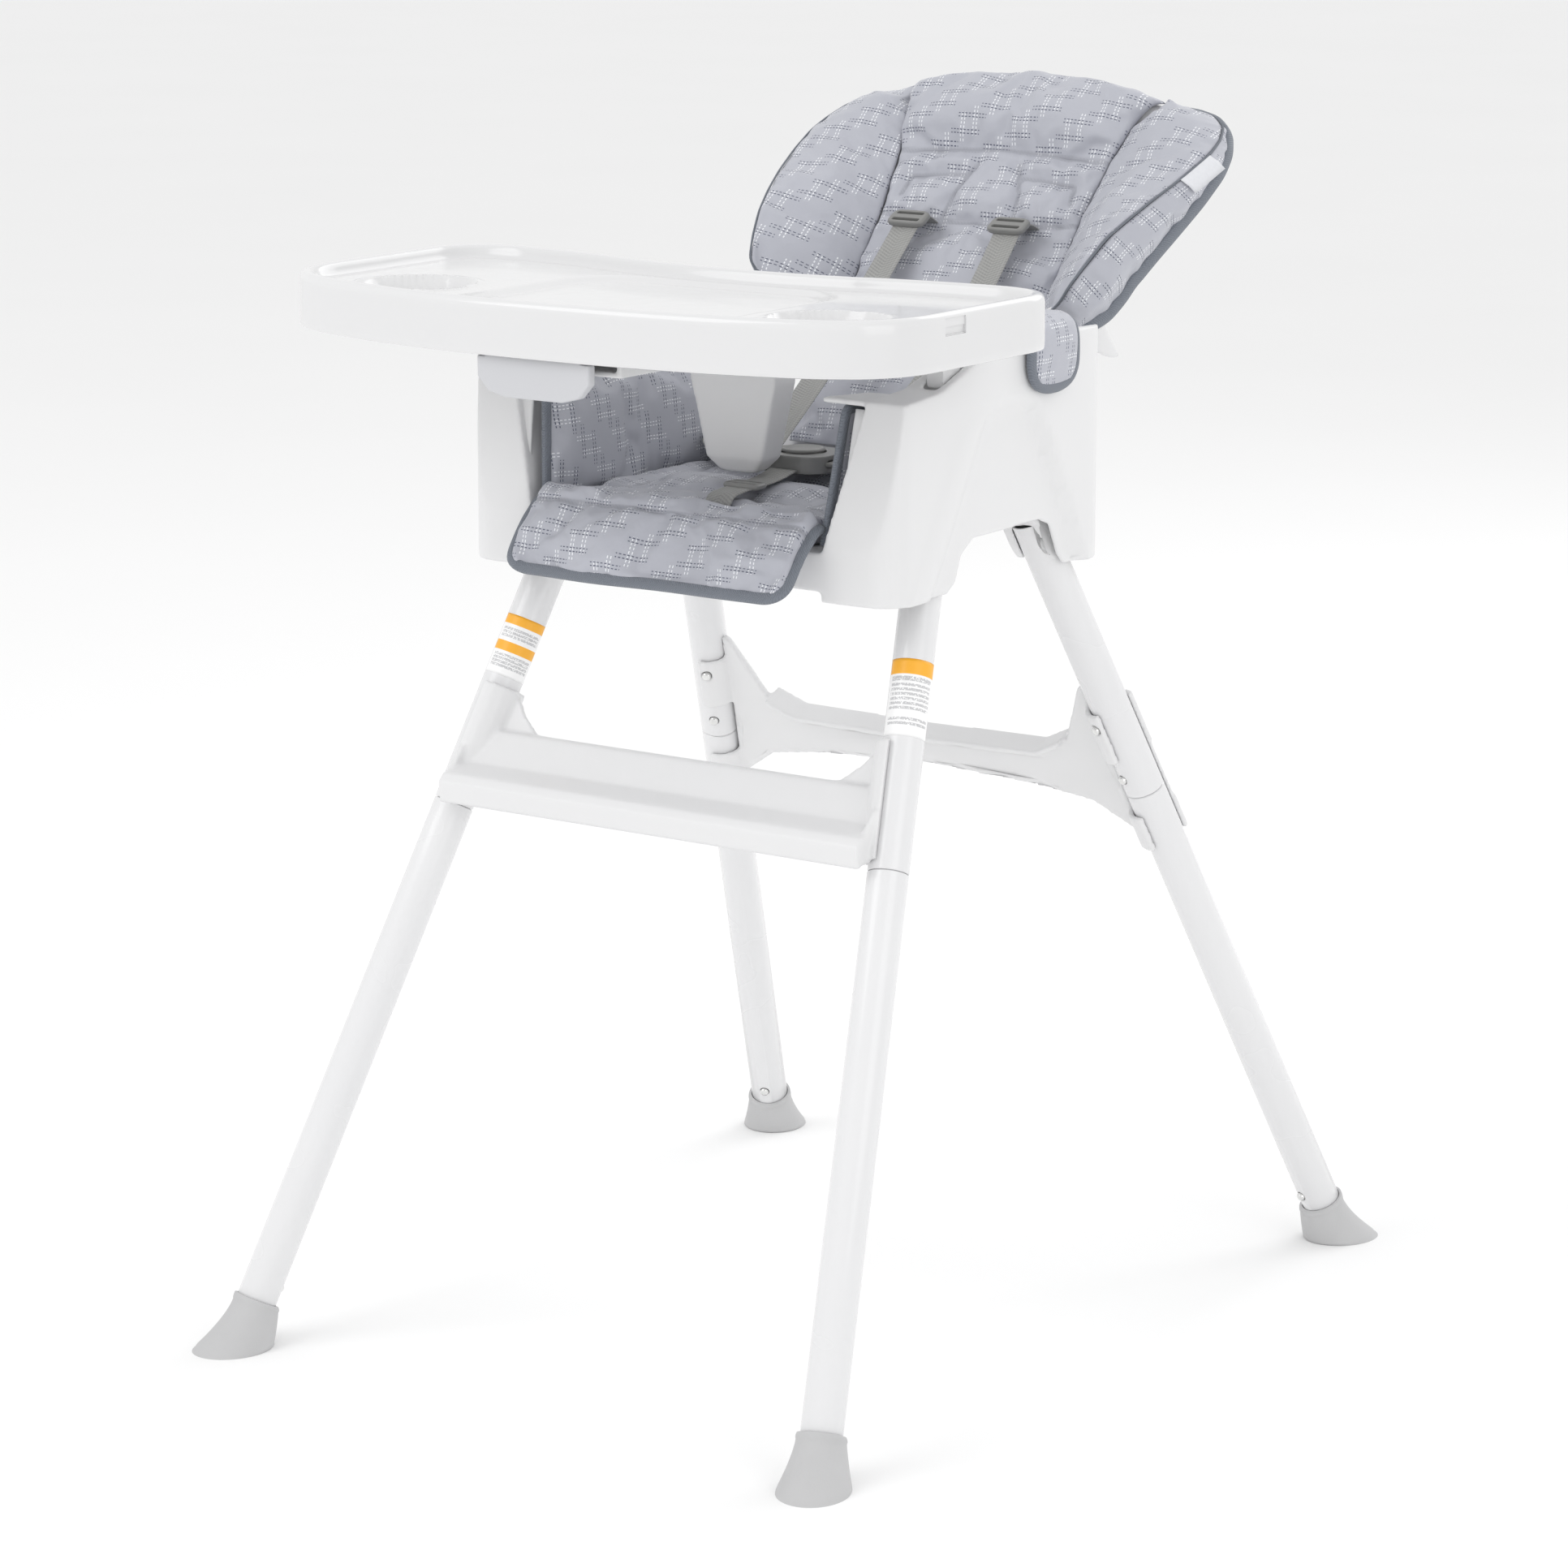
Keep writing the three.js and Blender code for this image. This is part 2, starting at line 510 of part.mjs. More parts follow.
// Harness: shoulder straps with slide adjusters, waist straps, crotch strap and buckle
for (const [name, side] of [['left', -1], ['right', 1]]) {
  const x = side * 50;
  addPart(`shoulder_strap_${name}`, block([x - 12.5, x + 12.5], [-5, -3.4], [66, 214]), webbing,
    back);
  const sleeveBlock = solid(block([x - 20, x + 20], [-8.6, 0.4], [188, 212]))
    .subtract(solid(block([x - 14, x + 14], [-6, -2.4], [180, 220])));
  addPart(`strap_adjuster_${name}`, sleeveBlock, darkPlastic, back);

  const tongueX = BUCKLE.x + side * 44;
  const tongue = solid(block([tongueX - 11, tongueX + 11], [-36, -14], [691, 695]))
    .subtract(solid(block([tongueX + side * 4 - 2, tongueX + side * 4 + 2], [-33, -17], [680, 700])));
  addPart(`buckle_tongue_${name}`, tongue, darkPlastic);
  const start = [tongueX + side * 12, -25];
  const end = [side * 122, 62];
  const strap = outline([
    [start[0], start[1] - 12], [end[0], end[1] - 12], [end[0], end[1] + 12],
    [start[0], start[1] + 12],
  ]);
  addPart(`waist_strap_${name}`, prismZ(strap, 692, 693.6), webbing);
}
addPart('crotch_strap', block([13, 38], [-148, -54], [682, 683.6]), webbing);
{
  const housing = solid(prismZ(roundedRectangle([-9, -54], [53, 2], 18), BUCKLE.z, 700))
    .subtract(solid(rod(18.6, [BUCKLE.x, BUCKLE.y, 696], [BUCKLE.x, BUCKLE.y, 710], 20)))
    .subtract(solid(block([-20, -4], [-37, -13], [690.4, 695.6])))
    .subtract(solid(block([48, 70], [-37, -13], [690.4, 695.6])));
  addPart('buckle_housing', housing, darkPlastic);
  addPart('buckle_button',
    rod(18, [BUCKLE.x, BUCKLE.y, 699.4], [BUCKLE.x, BUCKLE.y, 703], 20), darkPlastic);
}

// Tray: a shallow dish with a deep skirt, two cup recesses, and what hangs under it
function trayPlan(inset) {
  const shape = new THREE.Shape();
  const w = TRAY_HALF_WIDTH - inset;
  const front = -349 + inset;
  shape.moveTo(0, front);
  shape.quadraticCurveTo(130, front, 218 - inset * 0.4, front + 29);
  shape.quadraticCurveTo(w, front + 50, w, -236);
  shape.lineTo(w, -110);
  shape.quadraticCurveTo(w, -60 - inset, 236 - inset, -58 - inset);
  shape.quadraticCurveTo(150, -62 - inset, 110, -76 - inset);
  shape.quadraticCurveTo(60, -86 - inset, 0, -86 - inset);
  shape.quadraticCurveTo(-60, -86 - inset, -110, -76 - inset);
  shape.quadraticCurveTo(-150, -62 - inset, -236 + inset, -58 - inset);
  shape.quadraticCurveTo(-w, -60 - inset, -w, -110);
  shape.lineTo(-w, -236);
  shape.quadraticCurveTo(-w, front + 50, -218 + inset * 0.4, front + 29);
  shape.quadraticCurveTo(-130, front, 0, front);
  return shape;
}
const tray = new THREE.Group();
chair.add(tray);
{
  const outer = solid(prismZ(trayPlan(0), TRAY_BOTTOM_Z, TRAY_TOP_Z));
  const under = solid(prismZ(trayPlan(WALL), TRAY_BOTTOM_Z - 1, TRAY_FLOOR_Z));
  const dish = solid(prismZ(trayPlan(14), TRAY_DISH_Z, TRAY_TOP_Z + 1));
  const cup = (s, radius, from, to) => solid(rod(radius, [s * 192, -239, from],
    [s * 192, -239, to], 20));
  const window = (s) => solid(block(s > 0 ? [270, 300] : [-300, -270], [-224, -196], [830.5, 844]));
  let body = outer.subtract(under).add(cup(1, 46, 822, 832)).add(cup(-1, 46, 822, 832));
  body = body.subtract(dish).subtract(cup(1, 42, 826, 850)).subtract(cup(-1, 42, 826, 850));
  body = body.subtract(window(-1)).subtract(window(1));
  addPart('tray', body, whitePlastic, tray);
}
const hung = TRAY_FLOOR_Z - GAP;        // top of the pieces fixed under the tray
{
  const side = outline([
    [-150, hung], [-150, 802], [-92, 790], [-90, 700], [-84, 688], [-68, 690], [-63, 700],
    [-62, 760], [-64, TRAY_BOTTOM_Z - 0.5], [-92, TRAY_BOTTOM_Z - 0.5], [-92, hung],
  ]);
  const front = outline([
    [-42, hung], [-41, 760], [-27, 700], [-18, 690], [-8, 687], [8, 687], [18, 690], [27, 700],
    [41, 760], [42, hung],
  ]);
  addPart('crotch_post',
    solid(prismX(side, -45, 45)).intersect(solid(prismY(front, -160, -50))), whitePlastic, tray);
}
const LEVER_PIN = { y: -337.8, z: 817 };
{
  const housing = solid(block([-66, 66], [-322, -268], [794, hung]))
    .subtract(solid(block([-62, 62], [-323, -272], [798, hung - 4])))
    .add(solid(block([-64, -57], [-341.2, -320], [810, hung])))
    .add(solid(block([57, 64], [-341.2, -320], [810, hung])));
  const pinHole = solid(rod(2.4, [-80, LEVER_PIN.y, LEVER_PIN.z], [80, LEVER_PIN.y, LEVER_PIN.z], 12));
  const slots = joinAll([-1, 1].map((s) => solid(block(
    s > 0 ? [50, 70] : [-70, -50], [-306, -288], [811, 823]))));
  addPart('lever_housing', housing.subtract(pinHole).subtract(slots), whitePlastic, tray);
  addPart('lever_pin', rod(2, [-64, LEVER_PIN.y, LEVER_PIN.z], [64, LEVER_PIN.y, LEVER_PIN.z], 12),
    chrome, tray);
  const paddle = solid(prismY(outline([
    [-52, 805], [-52, 790], [-42, 779], [-26, 775], [26, 775], [42, 779], [52, 790], [52, 805],
  ]), -342, -333.5));
  const neck = solid(block([-44, 44], [-342, -333.5], [804, 822]));
  addPart('tray_lever', paddle.add(neck).subtract(pinHole), greyPlastic, tray);
}
for (const [name, side] of [['left', -1], ['right', 1]]) {
  const span = (a, b) => (side > 0 ? [a, b] : [-b, -a]);
  const bar = solid(block(span(54, 172), [-304, -290], [813, 821]))
    .add(solid(block(span(160, 172), [-304, -120], [813, 821])))
    .add(solid(block(span(160, 172), [-134, -110], [784, 821])));
  addPart(`tray_latch_${name}`, bar, greyPlastic, tray);
  addPart(`tray_runner_${name}`, solid(block(span(GROOVE.inner + 0.6, GROOVE.outer - 0.6),
    [-150, -68], [GROOVE.floor + 0.6, hung])), whitePlastic, tray);
}

export default chair;
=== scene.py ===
from math import atan2, cos, hypot, pi, radians, sin, sqrt
import bmesh
import bpy
import numpy as np
from mathutils import Matrix, Vector


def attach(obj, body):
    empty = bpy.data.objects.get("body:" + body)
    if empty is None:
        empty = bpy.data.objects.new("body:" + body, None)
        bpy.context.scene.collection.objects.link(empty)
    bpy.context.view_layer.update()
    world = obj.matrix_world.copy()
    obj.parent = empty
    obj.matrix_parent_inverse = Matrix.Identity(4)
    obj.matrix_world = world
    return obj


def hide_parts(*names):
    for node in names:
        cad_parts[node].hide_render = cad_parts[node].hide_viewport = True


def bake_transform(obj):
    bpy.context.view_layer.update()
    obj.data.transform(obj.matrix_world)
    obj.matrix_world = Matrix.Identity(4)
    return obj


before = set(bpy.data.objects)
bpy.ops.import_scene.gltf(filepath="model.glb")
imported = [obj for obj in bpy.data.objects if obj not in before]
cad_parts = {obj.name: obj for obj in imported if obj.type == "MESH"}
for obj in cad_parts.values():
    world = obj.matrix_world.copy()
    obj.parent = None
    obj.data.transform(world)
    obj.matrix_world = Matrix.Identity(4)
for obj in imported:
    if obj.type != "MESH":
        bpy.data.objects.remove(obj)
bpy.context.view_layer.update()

# Studio: a pale floor, a white surround and three large soft lamps.
# The camera stands ahead of the chair and to its left, slightly above the tray.
scene = bpy.context.scene
scene.view_settings.view_transform = "Standard"


class Value:
    """A shader socket; Python arithmetic on it adds Math nodes."""

    def __init__(self, socket):
        self.socket = socket

    def math(self, operation, *values):
        node = self.socket.id_data.nodes.new("ShaderNodeMath")
        node.operation = operation
        for slot, value in zip(node.inputs, values):
            plug(slot, value)
        return Value(node.outputs[0])

    def __add__(self, other):
        return self.math("ADD", self, other)

    def __sub__(self, other):
        return self.math("SUBTRACT", self, other)

    def __rsub__(self, other):
        return self.math("SUBTRACT", other, self)

    def __mul__(self, other):
        return self.math("MULTIPLY", self, other)

    def __mod__(self, other):
        return self.math("FLOORED_MODULO", self, other)

    def __pow__(self, other):
        return self.math("POWER", self, other)

    def __lt__(self, other):
        return self.math("LESS_THAN", self, other)

    def __gt__(self, other):
        return self.math("GREATER_THAN", self, other)

    def __abs__(self):
        return self.math("ABSOLUTE", self)

    __radd__ = __add__
    __rmul__ = __mul__

    def sine(self):
        return self.math("SINE", self)

    def sign(self):
        return self.math("SIGN", self)

    def clamp(self):
        return self.math("MAXIMUM", self.math("MINIMUM", self, 1.0), 0.0)


def plug(slot, value):
    if isinstance(value, Value):
        slot.id_data.links.new(value.socket, slot)
    else:
        slot.default_value = value


class Finish:
    """A material in the making: a Principled shader and whatever feeds it."""

    def __init__(self, name, colour, roughness, **shader):
        self.material = bpy.data.materials.new(name)
        self.material.use_nodes = True
        self.shader = self.material.node_tree.nodes["Principled BSDF"]
        self.feed("Base Color", (*colour, 1))
        self.feed("Roughness", roughness)
        for key, value in shader.items():
            self.feed(key.replace("_", " "), value)
        self.material.diffuse_color = (*colour, 1)

    def feed(self, socket, value):
        plug(self.shader.inputs[socket], value)

    def colour(self, value):
        self.feed("Base Color", value)

    def node(self, kind, settings=None, inputs=None, output=0):
        node = self.material.node_tree.nodes.new(f"ShaderNode{kind}")
        for key, value in (settings or {}).items():
            setattr(node, key, value)
        for key, value in (inputs or {}).items():
            plug(node.inputs[key], value)
        return Value(node.outputs[output])

    def noise(self, scale, detail=2.0, roughness=0.5):
        place = self.node("TexCoord", output="Object")
        return self.node("TexNoise", None, {"Vector": place, "Scale": scale, "Detail": detail,
                                            "Roughness": roughness}, "Fac")

    def attribute(self, name):
        """The three numbers of a mesh attribute."""
        place = self.node("Attribute", {"attribute_name": name}, None, "Vector")
        parts = self.node("SeparateXYZ", None, {0: place})
        return [Value(socket) for socket in parts.socket.node.outputs]

    def mix(self, share, first, second):
        """Colour between two colours, as an RGB Mix node."""
        ends = [c if isinstance(c, Value) else (*c, 1) for c in (first, second)]
        return self.node("Mix", {"data_type": "RGBA"}, {0: share, 6: ends[0], 7: ends[1]}, 2)

    def bump(self, height, strength, distance):
        self.feed("Normal", self.node("Bump", None, {"Height": height, "Strength": strength,
                                                     "Distance": distance}))


def add_mesh(name, points, faces, material, smooth=True):
    mesh = bpy.data.meshes.new(name)
    mesh.from_pydata([tuple(p) for p in points], [], [tuple(f) for f in faces])
    mesh.validate()
    mesh.update()
    thing = bpy.data.objects.new(name, mesh)
    scene.collection.objects.link(thing)
    if material:
        mesh.materials.append(material)
    if smooth:
        mesh.shade_smooth()
    return thing


FLOOR_HALF = 80.0
floor_finish = Finish("studio_floor", (0.92, 0.92, 0.92), 0.85)
floor_finish.colour(floor_finish.mix(floor_finish.noise(1.5), (0.91, 0.91, 0.91),
                                     (0.93, 0.93, 0.93)))
floor_plan = [(-1, -1), (1, -1), (1, 1), (-1, 1)]
floor = add_mesh("studio_floor", [(x * FLOOR_HALF, y * FLOOR_HALF, 0) for x, y in floor_plan],
                 [(0, 1, 2, 3)], floor_finish.material)

world = bpy.data.worlds.new("studio_air")
world.use_nodes = True
world.node_tree.nodes["Background"].inputs["Color"].default_value = (1, 1, 1, 1)
world.node_tree.nodes["Background"].inputs["Strength"].default_value = 0.93
scene.world = world


def add_lamp(name, place, target, size, power):
    lamp = bpy.data.lights.new(name, "AREA")
    lamp.shape = "RECTANGLE"
    lamp.size = lamp.size_y = size
    lamp.energy = power
    thing = bpy.data.objects.new(name, lamp)
    thing.location = place
    thing.rotation_euler = (Vector(target) - Vector(place)).to_track_quat("-Z", "Y").to_euler()
    scene.collection.objects.link(thing)


CHAIR_MIDDLE = (0, 0, 0.5)
add_lamp("key_lamp", (-1.6, -3.0, 3.2), CHAIR_MIDDLE, 2.6, 40)
add_lamp("side_lamp", (3.4, -1.2, 1.6), CHAIR_MIDDLE, 2.2, 16)
add_lamp("rear_lamp", (0.6, 3.2, 2.6), CHAIR_MIDDLE, 2.4, 30)

CAMERA_PLACE = (2.276, -3.249, 1.306)
CAMERA_TURN = radians(35.19)
CAMERA_DIP = radians(12.53)
camera = bpy.data.cameras.new("studio_camera")
camera.lens = 116.1
camera.sensor_width = 36
camera_stand = bpy.data.objects.new("studio_camera", camera)
camera_stand.location = CAMERA_PLACE
camera_stand.rotation_euler = (pi / 2 - CAMERA_DIP, 0, CAMERA_TURN)
scene.collection.objects.link(camera_stand)
scene.camera = camera_stand

# Legs: round steel tube, 32 mm, powder coated gloss white. Each leg is an upper and a lower
# length; the lower one's necked top slides into the upper one and a snap button holds it.
MM = 0.001
TUBE_RADIUS, BORE_RADIUS = 16 * MM, 14.5 * MM
NECK_RADIUS, NECK_BORE = 0.0141, 0.0126
HOLE_RADIUS = 4.4 * MM
LEG_PLANS = {
    "front_left": ((-279, -377.5), (-178, -94.9)), "front_right": ((279, -377.5), (178, -94.9)),
    "rear_left": ((-292.5, 377.65), (-176.5, 98.9)), "rear_right": ((292.5, 377.65), (176.5, 98.9)),
}
LEG_PLAN_HEIGHT = 600
TUBE_FOOT_Z, SEAM_Z, TUBE_TOP_Z = 0.0095, 0.415, 0.646
FOOT_HOLE_Z, LEG_HOLE_Z, BRACE_HOLE_Z = 0.049, 0.431, 0.477

paint = Finish("white_powder_coat", (0.8, 0.8, 0.805), 0.24, Coat_Roughness=0.08)
paint.colour(paint.mix(paint.noise(9), (0.745, 0.745, 0.755), (0.78, 0.78, 0.785)))
paint.feed("Roughness", 0.2 + 0.12 * paint.noise(12))
paint.feed("Coat Weight", 0.25 + 0.2 * paint.noise(8))
paint.bump(paint.noise(900, 3), 0.05, 0.0002)


def moulding(name, light, dark, gloss, grain=900, depth=0.10, coat=0.0):
    """Moulded plastic: a fine spark-eroded grain, slow colour drift, and convex edges a little
    lighter in colour and a little less rough.
    """
    finish = Finish(name, light, gloss)
    convexity = finish.node("NewGeometry", output="Pointiness")
    edge = ((convexity - 0.5) * 6.0).clamp()
    drift = finish.noise(7, 3)
    # Convex edges, found by the mesh's Pointiness, lean a little towards the light colour.
    finish.colour(finish.mix((drift * 0.7 + edge * 0.3).clamp(), dark, light))
    finish.feed("Roughness", gloss - 0.05 + 0.1 * finish.noise(45, 3) - edge * 0.08)
    if coat:
        finish.feed("Coat Weight", coat + 0.1 * drift)
    finish.bump(finish.noise(grain, 4, 0.6), depth, 0.0004)
    return finish.material


white_moulding = moulding("white_satin_moulding", (0.785, 0.785, 0.79), (0.745, 0.745, 0.75), 0.42)
rubber = Finish("grey_rubber", (0.57, 0.57, 0.575), 0.7)
rubber.colour(rubber.mix(rubber.noise(30, 4), (0.48, 0.48, 0.485), (0.54, 0.54, 0.545)))
rubber.feed("Roughness", 0.62 + 0.16 * rubber.noise(120, 3))
rubber.bump(rubber.noise(700, 4, 0.6), 0.25, 0.0004)
steel = Finish("bright_plated_steel", (0.78, 0.78, 0.77), 0.16, Metallic=1.0)
steel.colour(steel.mix(steel.noise(160, 3), (0.7, 0.7, 0.69), (0.84, 0.84, 0.83)))
steel.feed("Roughness", 0.1 + 0.18 * steel.noise(300, 3))


def evaluated(thing):
    """The thing's mesh with its modifiers, as a mesh of its own."""
    graph = bpy.context.evaluated_depsgraph_get()
    graph.update()
    return bpy.data.meshes.new_from_object(thing.evaluated_get(graph))


def settle(thing):
    """Applies every modifier."""
    mesh = evaluated(thing)
    thing.modifiers.clear()
    old = thing.data
    thing.data = mesh
    bpy.data.meshes.remove(old)
    return thing


def discard(thing):
    mesh = thing.data
    bpy.data.objects.remove(thing)
    bpy.data.meshes.remove(mesh)


def face_outwards(thing):
    """Turns every face's normal outwards."""
    solid = bmesh.new()
    solid.from_mesh(thing.data)
    bmesh.ops.recalc_face_normals(solid, faces=solid.faces)
    solid.to_mesh(thing.data)
    solid.free()
    return thing


def ring_faces(count, rows):
    faces = []
    for first in range(0, (rows - 1) * count, count):
        for i in range(count):
            j = (i + 1) % count
            faces.append((first + i, first + j, first + count + j, first + count + i))
    return faces


def loft(name, rings, material, closed=False):
    """A solid through a stack of rings; closed joins the last ring to the first."""
    count = len(rings[0])
    points = [p for ring in rings for p in ring]
    faces = ring_faces(count, len(rings))
    if closed:
        last = (len(rings) - 1) * count
        faces += [(last + i, last + (i + 1) % count, (i + 1) % count, i) for i in range(count)]
    else:
        faces.append(tuple(reversed(range(count))))
        faces.append(tuple(range(len(points) - count, len(points))))
    return face_outwards(add_mesh(name, points, faces, material))


def lathe(name, profile, material, matrix, sides=48, closed=False):
    """A profile of (radius, height) turned about the matrix's z axis."""
    rings = [[matrix @ Vector((r * cos(2 * pi * i / sides), r * sin(2 * pi * i / sides), h))
              for i in range(sides)] for r, h in profile]
    return loft(name, rings, material, closed)


def sharpen(thing, angle=35):
    """Keeps edges sharper than the angle crisp."""
    thing.data.set_sharp_from_angle(angle=radians(angle))
    return thing


def cut(thing, cutter):
    modifier = thing.modifiers.new("cut", "BOOLEAN")
    modifier.object = cutter
    modifier.operation = "DIFFERENCE"
    modifier.solver = "EXACT"
    settle(thing)
    discard(cutter)


def fit(thing, body, node=None):
    """Says which body a piece has, and which node it stands for."""
    if node:
        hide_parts(node)
    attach(thing, body)
    return thing


def leg_matrix(plan):
    """Leg frame: origin on the floor, z up the tube, x towards the middle of the chair."""
    (x0, y0), (x1, y1) = plan
    foot = Vector((x0, y0, 0)) * MM
    up = Vector((x1 - x0, y1 - y0, LEG_PLAN_HEIGHT)).normalized()
    inward = Vector((up.x, up.y, 0)).normalized()
    x = (inward - up * inward.dot(up)).normalized()
    y = up.cross(x)
    matrix = Matrix((x, y, up)).transposed().to_4x4()
    matrix.translation = foot
    return matrix, up.z, inward


def across_leg(matrix, height):
    """The leg frame with z turned inwards through the tube, at a height up the leg."""
    return matrix @ Matrix.Translation((0, 0, height)) @ Matrix.Rotation(pi / 2, 4, "Y")


def drill(tube, matrix, height):
    """A snap button's hole, through the inner wall of the tube only."""
    bit = lathe("drill", [(HOLE_RADIUS, 0.0), (HOLE_RADIUS, 0.03)], None,
                across_leg(matrix, height), 24)
    cut(tube, bit)


def make_leg(name, plan):
    matrix, rise, inward = leg_matrix(plan)
    low, seam, top = TUBE_FOOT_Z / rise, SEAM_Z / rise, TUBE_TOP_Z / rise
    rear = name.startswith("rear")
    lower = lathe(f"lower_leg_{name}", [
        (BORE_RADIUS, low), (TUBE_RADIUS - 0.0004, low), (TUBE_RADIUS, low + 0.0006),
        (TUBE_RADIUS, seam - 0.0008), (TUBE_RADIUS - 0.0008, seam - 0.0001), (NECK_RADIUS, seam),
        (NECK_RADIUS, seam + 0.043), (0.0128, seam + 0.045), (NECK_BORE, seam + 0.045),
        (NECK_BORE, seam - 0.006), (BORE_RADIUS, seam - 0.009),
    ], paint.material, matrix, closed=True)
    for hole in (FOOT_HOLE_Z, LEG_HOLE_Z):
        drill(lower, matrix, hole / rise)
    upper = lathe(f"upper_leg_{name}", [
        (BORE_RADIUS, seam + 0.0004), (TUBE_RADIUS - 0.0006, seam + 0.0004),
        (TUBE_RADIUS, seam + 0.0011), (TUBE_RADIUS, top), (BORE_RADIUS, top),
    ], paint.material, matrix, closed=True)
    for hole in (LEG_HOLE_Z, BRACE_HOLE_Z) if rear else (LEG_HOLE_Z,):
        drill(upper, matrix, hole / rise)
    for tube, length in ((lower, "lower"), (upper, "upper")):
        fit(sharpen(tube), "frame", f"{length}_leg_{name}")

    # Snap button: a domed, plated pin pushed out of the tube by a spring strip
    spots = [("foot_button", FOOT_HOLE_Z, 0.0192, 0.013), ("leg_button", LEG_HOLE_Z, 0.0192, 0.0112)]
    if rear:
        spots.append(("brace_button", BRACE_HOLE_Z, 0.0238, 0.013))
    for kind, height, reach, flange in spots:
        dome = [(3.8 * MM * cos(a), reach - 0.0022 + 0.0022 * sin(a))
                for a in np.linspace(0, pi / 2 - 0.05, 9)]
        pin = lathe(f"{kind}_{name}", [
            (0.0001, flange - 0.0012), (0.005, flange - 0.0012), (0.0052, flange - 0.0009),
            (0.0052, flange - 0.0002), (0.005, flange), (0.0038, flange), *dome,
        ], steel.material, across_leg(matrix, height / rise), 32)
        fit(sharpen(pin), f"{kind}_{name}", f"{kind}_{name}")

    # Foot: soft rubber boot pushed onto the tube, steep at the heel and flared at the toe
    rim_z, rim_radius, rows, sides = 0.036, 0.0185, 22, 48
    sole_long, sole_wide, sole_back = 0.034, 0.0285, 0.005
    across = Vector((-inward.y, inward.x, 0))
    rings = []
    for row in range(rows + 1):
        share = row / rows
        spread = (1 - share) ** 1.55
        swell = 1 + 0.05 * max(0.0, 1 - abs(share - 0.93) / 0.07)
        ring = []
        for i in range(sides):
            a = 2 * pi * i / sides
            rim = matrix @ Vector((rim_radius * swell * cos(a), rim_radius * swell * sin(a),
                                   rim_z / rise))
            sole = (matrix.translation + inward * (sole_long * cos(a) - sole_back)
                    + across * sole_wide * sin(a))
            point = rim.lerp(sole, spread)
            point.z = rim.z * share
            if row == 0:
                point = point.lerp(matrix.translation - inward * sole_back, 0.03)
                point.z = 0
            elif row == 1:
                point.z = 0.0009
            ring.append(point)
        rings.append(ring)
    middle = matrix @ Vector((0, 0, rim_z / rise))
    rings.append([p.lerp(middle, 0.10) - Vector((0, 0, -0.0004)) for p in rings[-1]])
    rings.append([p.lerp(middle, 0.04) - Vector((0, 0, 0.004)) for p in rings[-1]])
    foot = loft(f"foot_{name}", rings, rubber.material)
    fit(sharpen(foot, 50), "frame", f"foot_{name}")


for leg, plan in LEG_PLANS.items():
    make_leg(leg, plan)

# Rating stickers: printed film wrapped part of the way round each front leg, with orange
# bands and grey lines where a maker puts its notices.
BAND = (0.95, 0.45, 0.03)
INK = (0.32, 0.32, 0.34)
FILM = (0.93, 0.93, 0.93)
FILM_SIDE = Vector((sin(CAMERA_TURN), -cos(CAMERA_TURN), 0))
FILM_HALF_TURN = radians(78)
LIFT_OUTSIDE, LIFT_INSIDE = 0.00018, 0.00004


def sticker(leg, low, high, bands, lines):
    """A film between two heights; bands and lines are (centre, half width) shares of it."""
    matrix, rise, _ = leg_matrix(LEG_PLANS[leg])
    finish = Finish(f"sticker_{leg}_film", FILM, 0.35)
    across, along, _ = finish.attribute("sticker_place")
    ragged = finish.noise(900, 1)
    ink = sum((abs(along - centre) < width) * (abs(across) < 0.82) * (ragged > 0.42)
              for centre, width in lines)
    orange = sum(abs(along - centre) < width for centre, width in bands)
    printed = finish.mix(ink.clamp() * 0.6, FILM, INK)
    finish.colour(finish.mix(orange.clamp(), printed, BAND))
    finish.feed("Roughness", 0.3 + 0.1 * finish.noise(80))
    across_steps, along_steps = 40, 24
    facing = atan2(*(matrix.to_3x3().transposed() @ FILM_SIDE).yx)
    points, places, faces = [], [], []
    for lift in (LIFT_OUTSIDE, LIFT_INSIDE):
        for j in range(along_steps + 1):
            for i in range(across_steps + 1):
                a = facing + FILM_HALF_TURN * (2 * i / across_steps - 1)
                h = (low + (high - low) * j / along_steps) / rise
                r = TUBE_RADIUS + lift
                points.append(matrix @ Vector((r * cos(a), r * sin(a), h)))
                places.append((2 * i / across_steps - 1, j / along_steps, 0))
    width = across_steps + 1
    layer = width * (along_steps + 1)
    for j in range(along_steps):
        for i in range(across_steps):
            a = j * width + i
            faces.append((a, a + 1, a + width + 1, a + width))
            faces.append(tuple(layer + k for k in (a + width, a + width + 1, a + 1, a)))
    edge = [*range(0, along_steps * width, width),
            *range(along_steps * width, along_steps * width + across_steps),
            *range(layer - 1, across_steps, -width), *range(across_steps, 0, -1)]
    for a, b in zip(edge, edge[1:] + edge[:1]):
        faces.append((a, b, layer + b, layer + a))
    film = face_outwards(add_mesh(f"sticker_{leg}", points, faces, finish.material))
    attribute = film.data.attributes.new("sticker_place", "FLOAT_VECTOR", "POINT")
    attribute.data.foreach_set("vector", [c for p in places for c in p])
    fit(film, "frame")


sticker("front_left", 0.512, 0.556, [(0.92, 0.08), (0.47, 0.08)],
        [(centre, 0.022) for centre in (0.76, 0.7, 0.64, 0.32, 0.26, 0.2, 0.14)])
sticker("front_right", 0.508, 0.562, [(0.9, 0.1)],
        [(0.74, 0.03)] + [(c, 0.018) for c in (0.66, 0.6, 0.54, 0.48, 0.42, 0.36, 0.22, 0.16)])

# White mouldings: footrest, rear brace and seat base, injection moulded in satin polypropylene.
# Footrest and brace clip round the legs; the seat base is pushed down over the four tube tops.


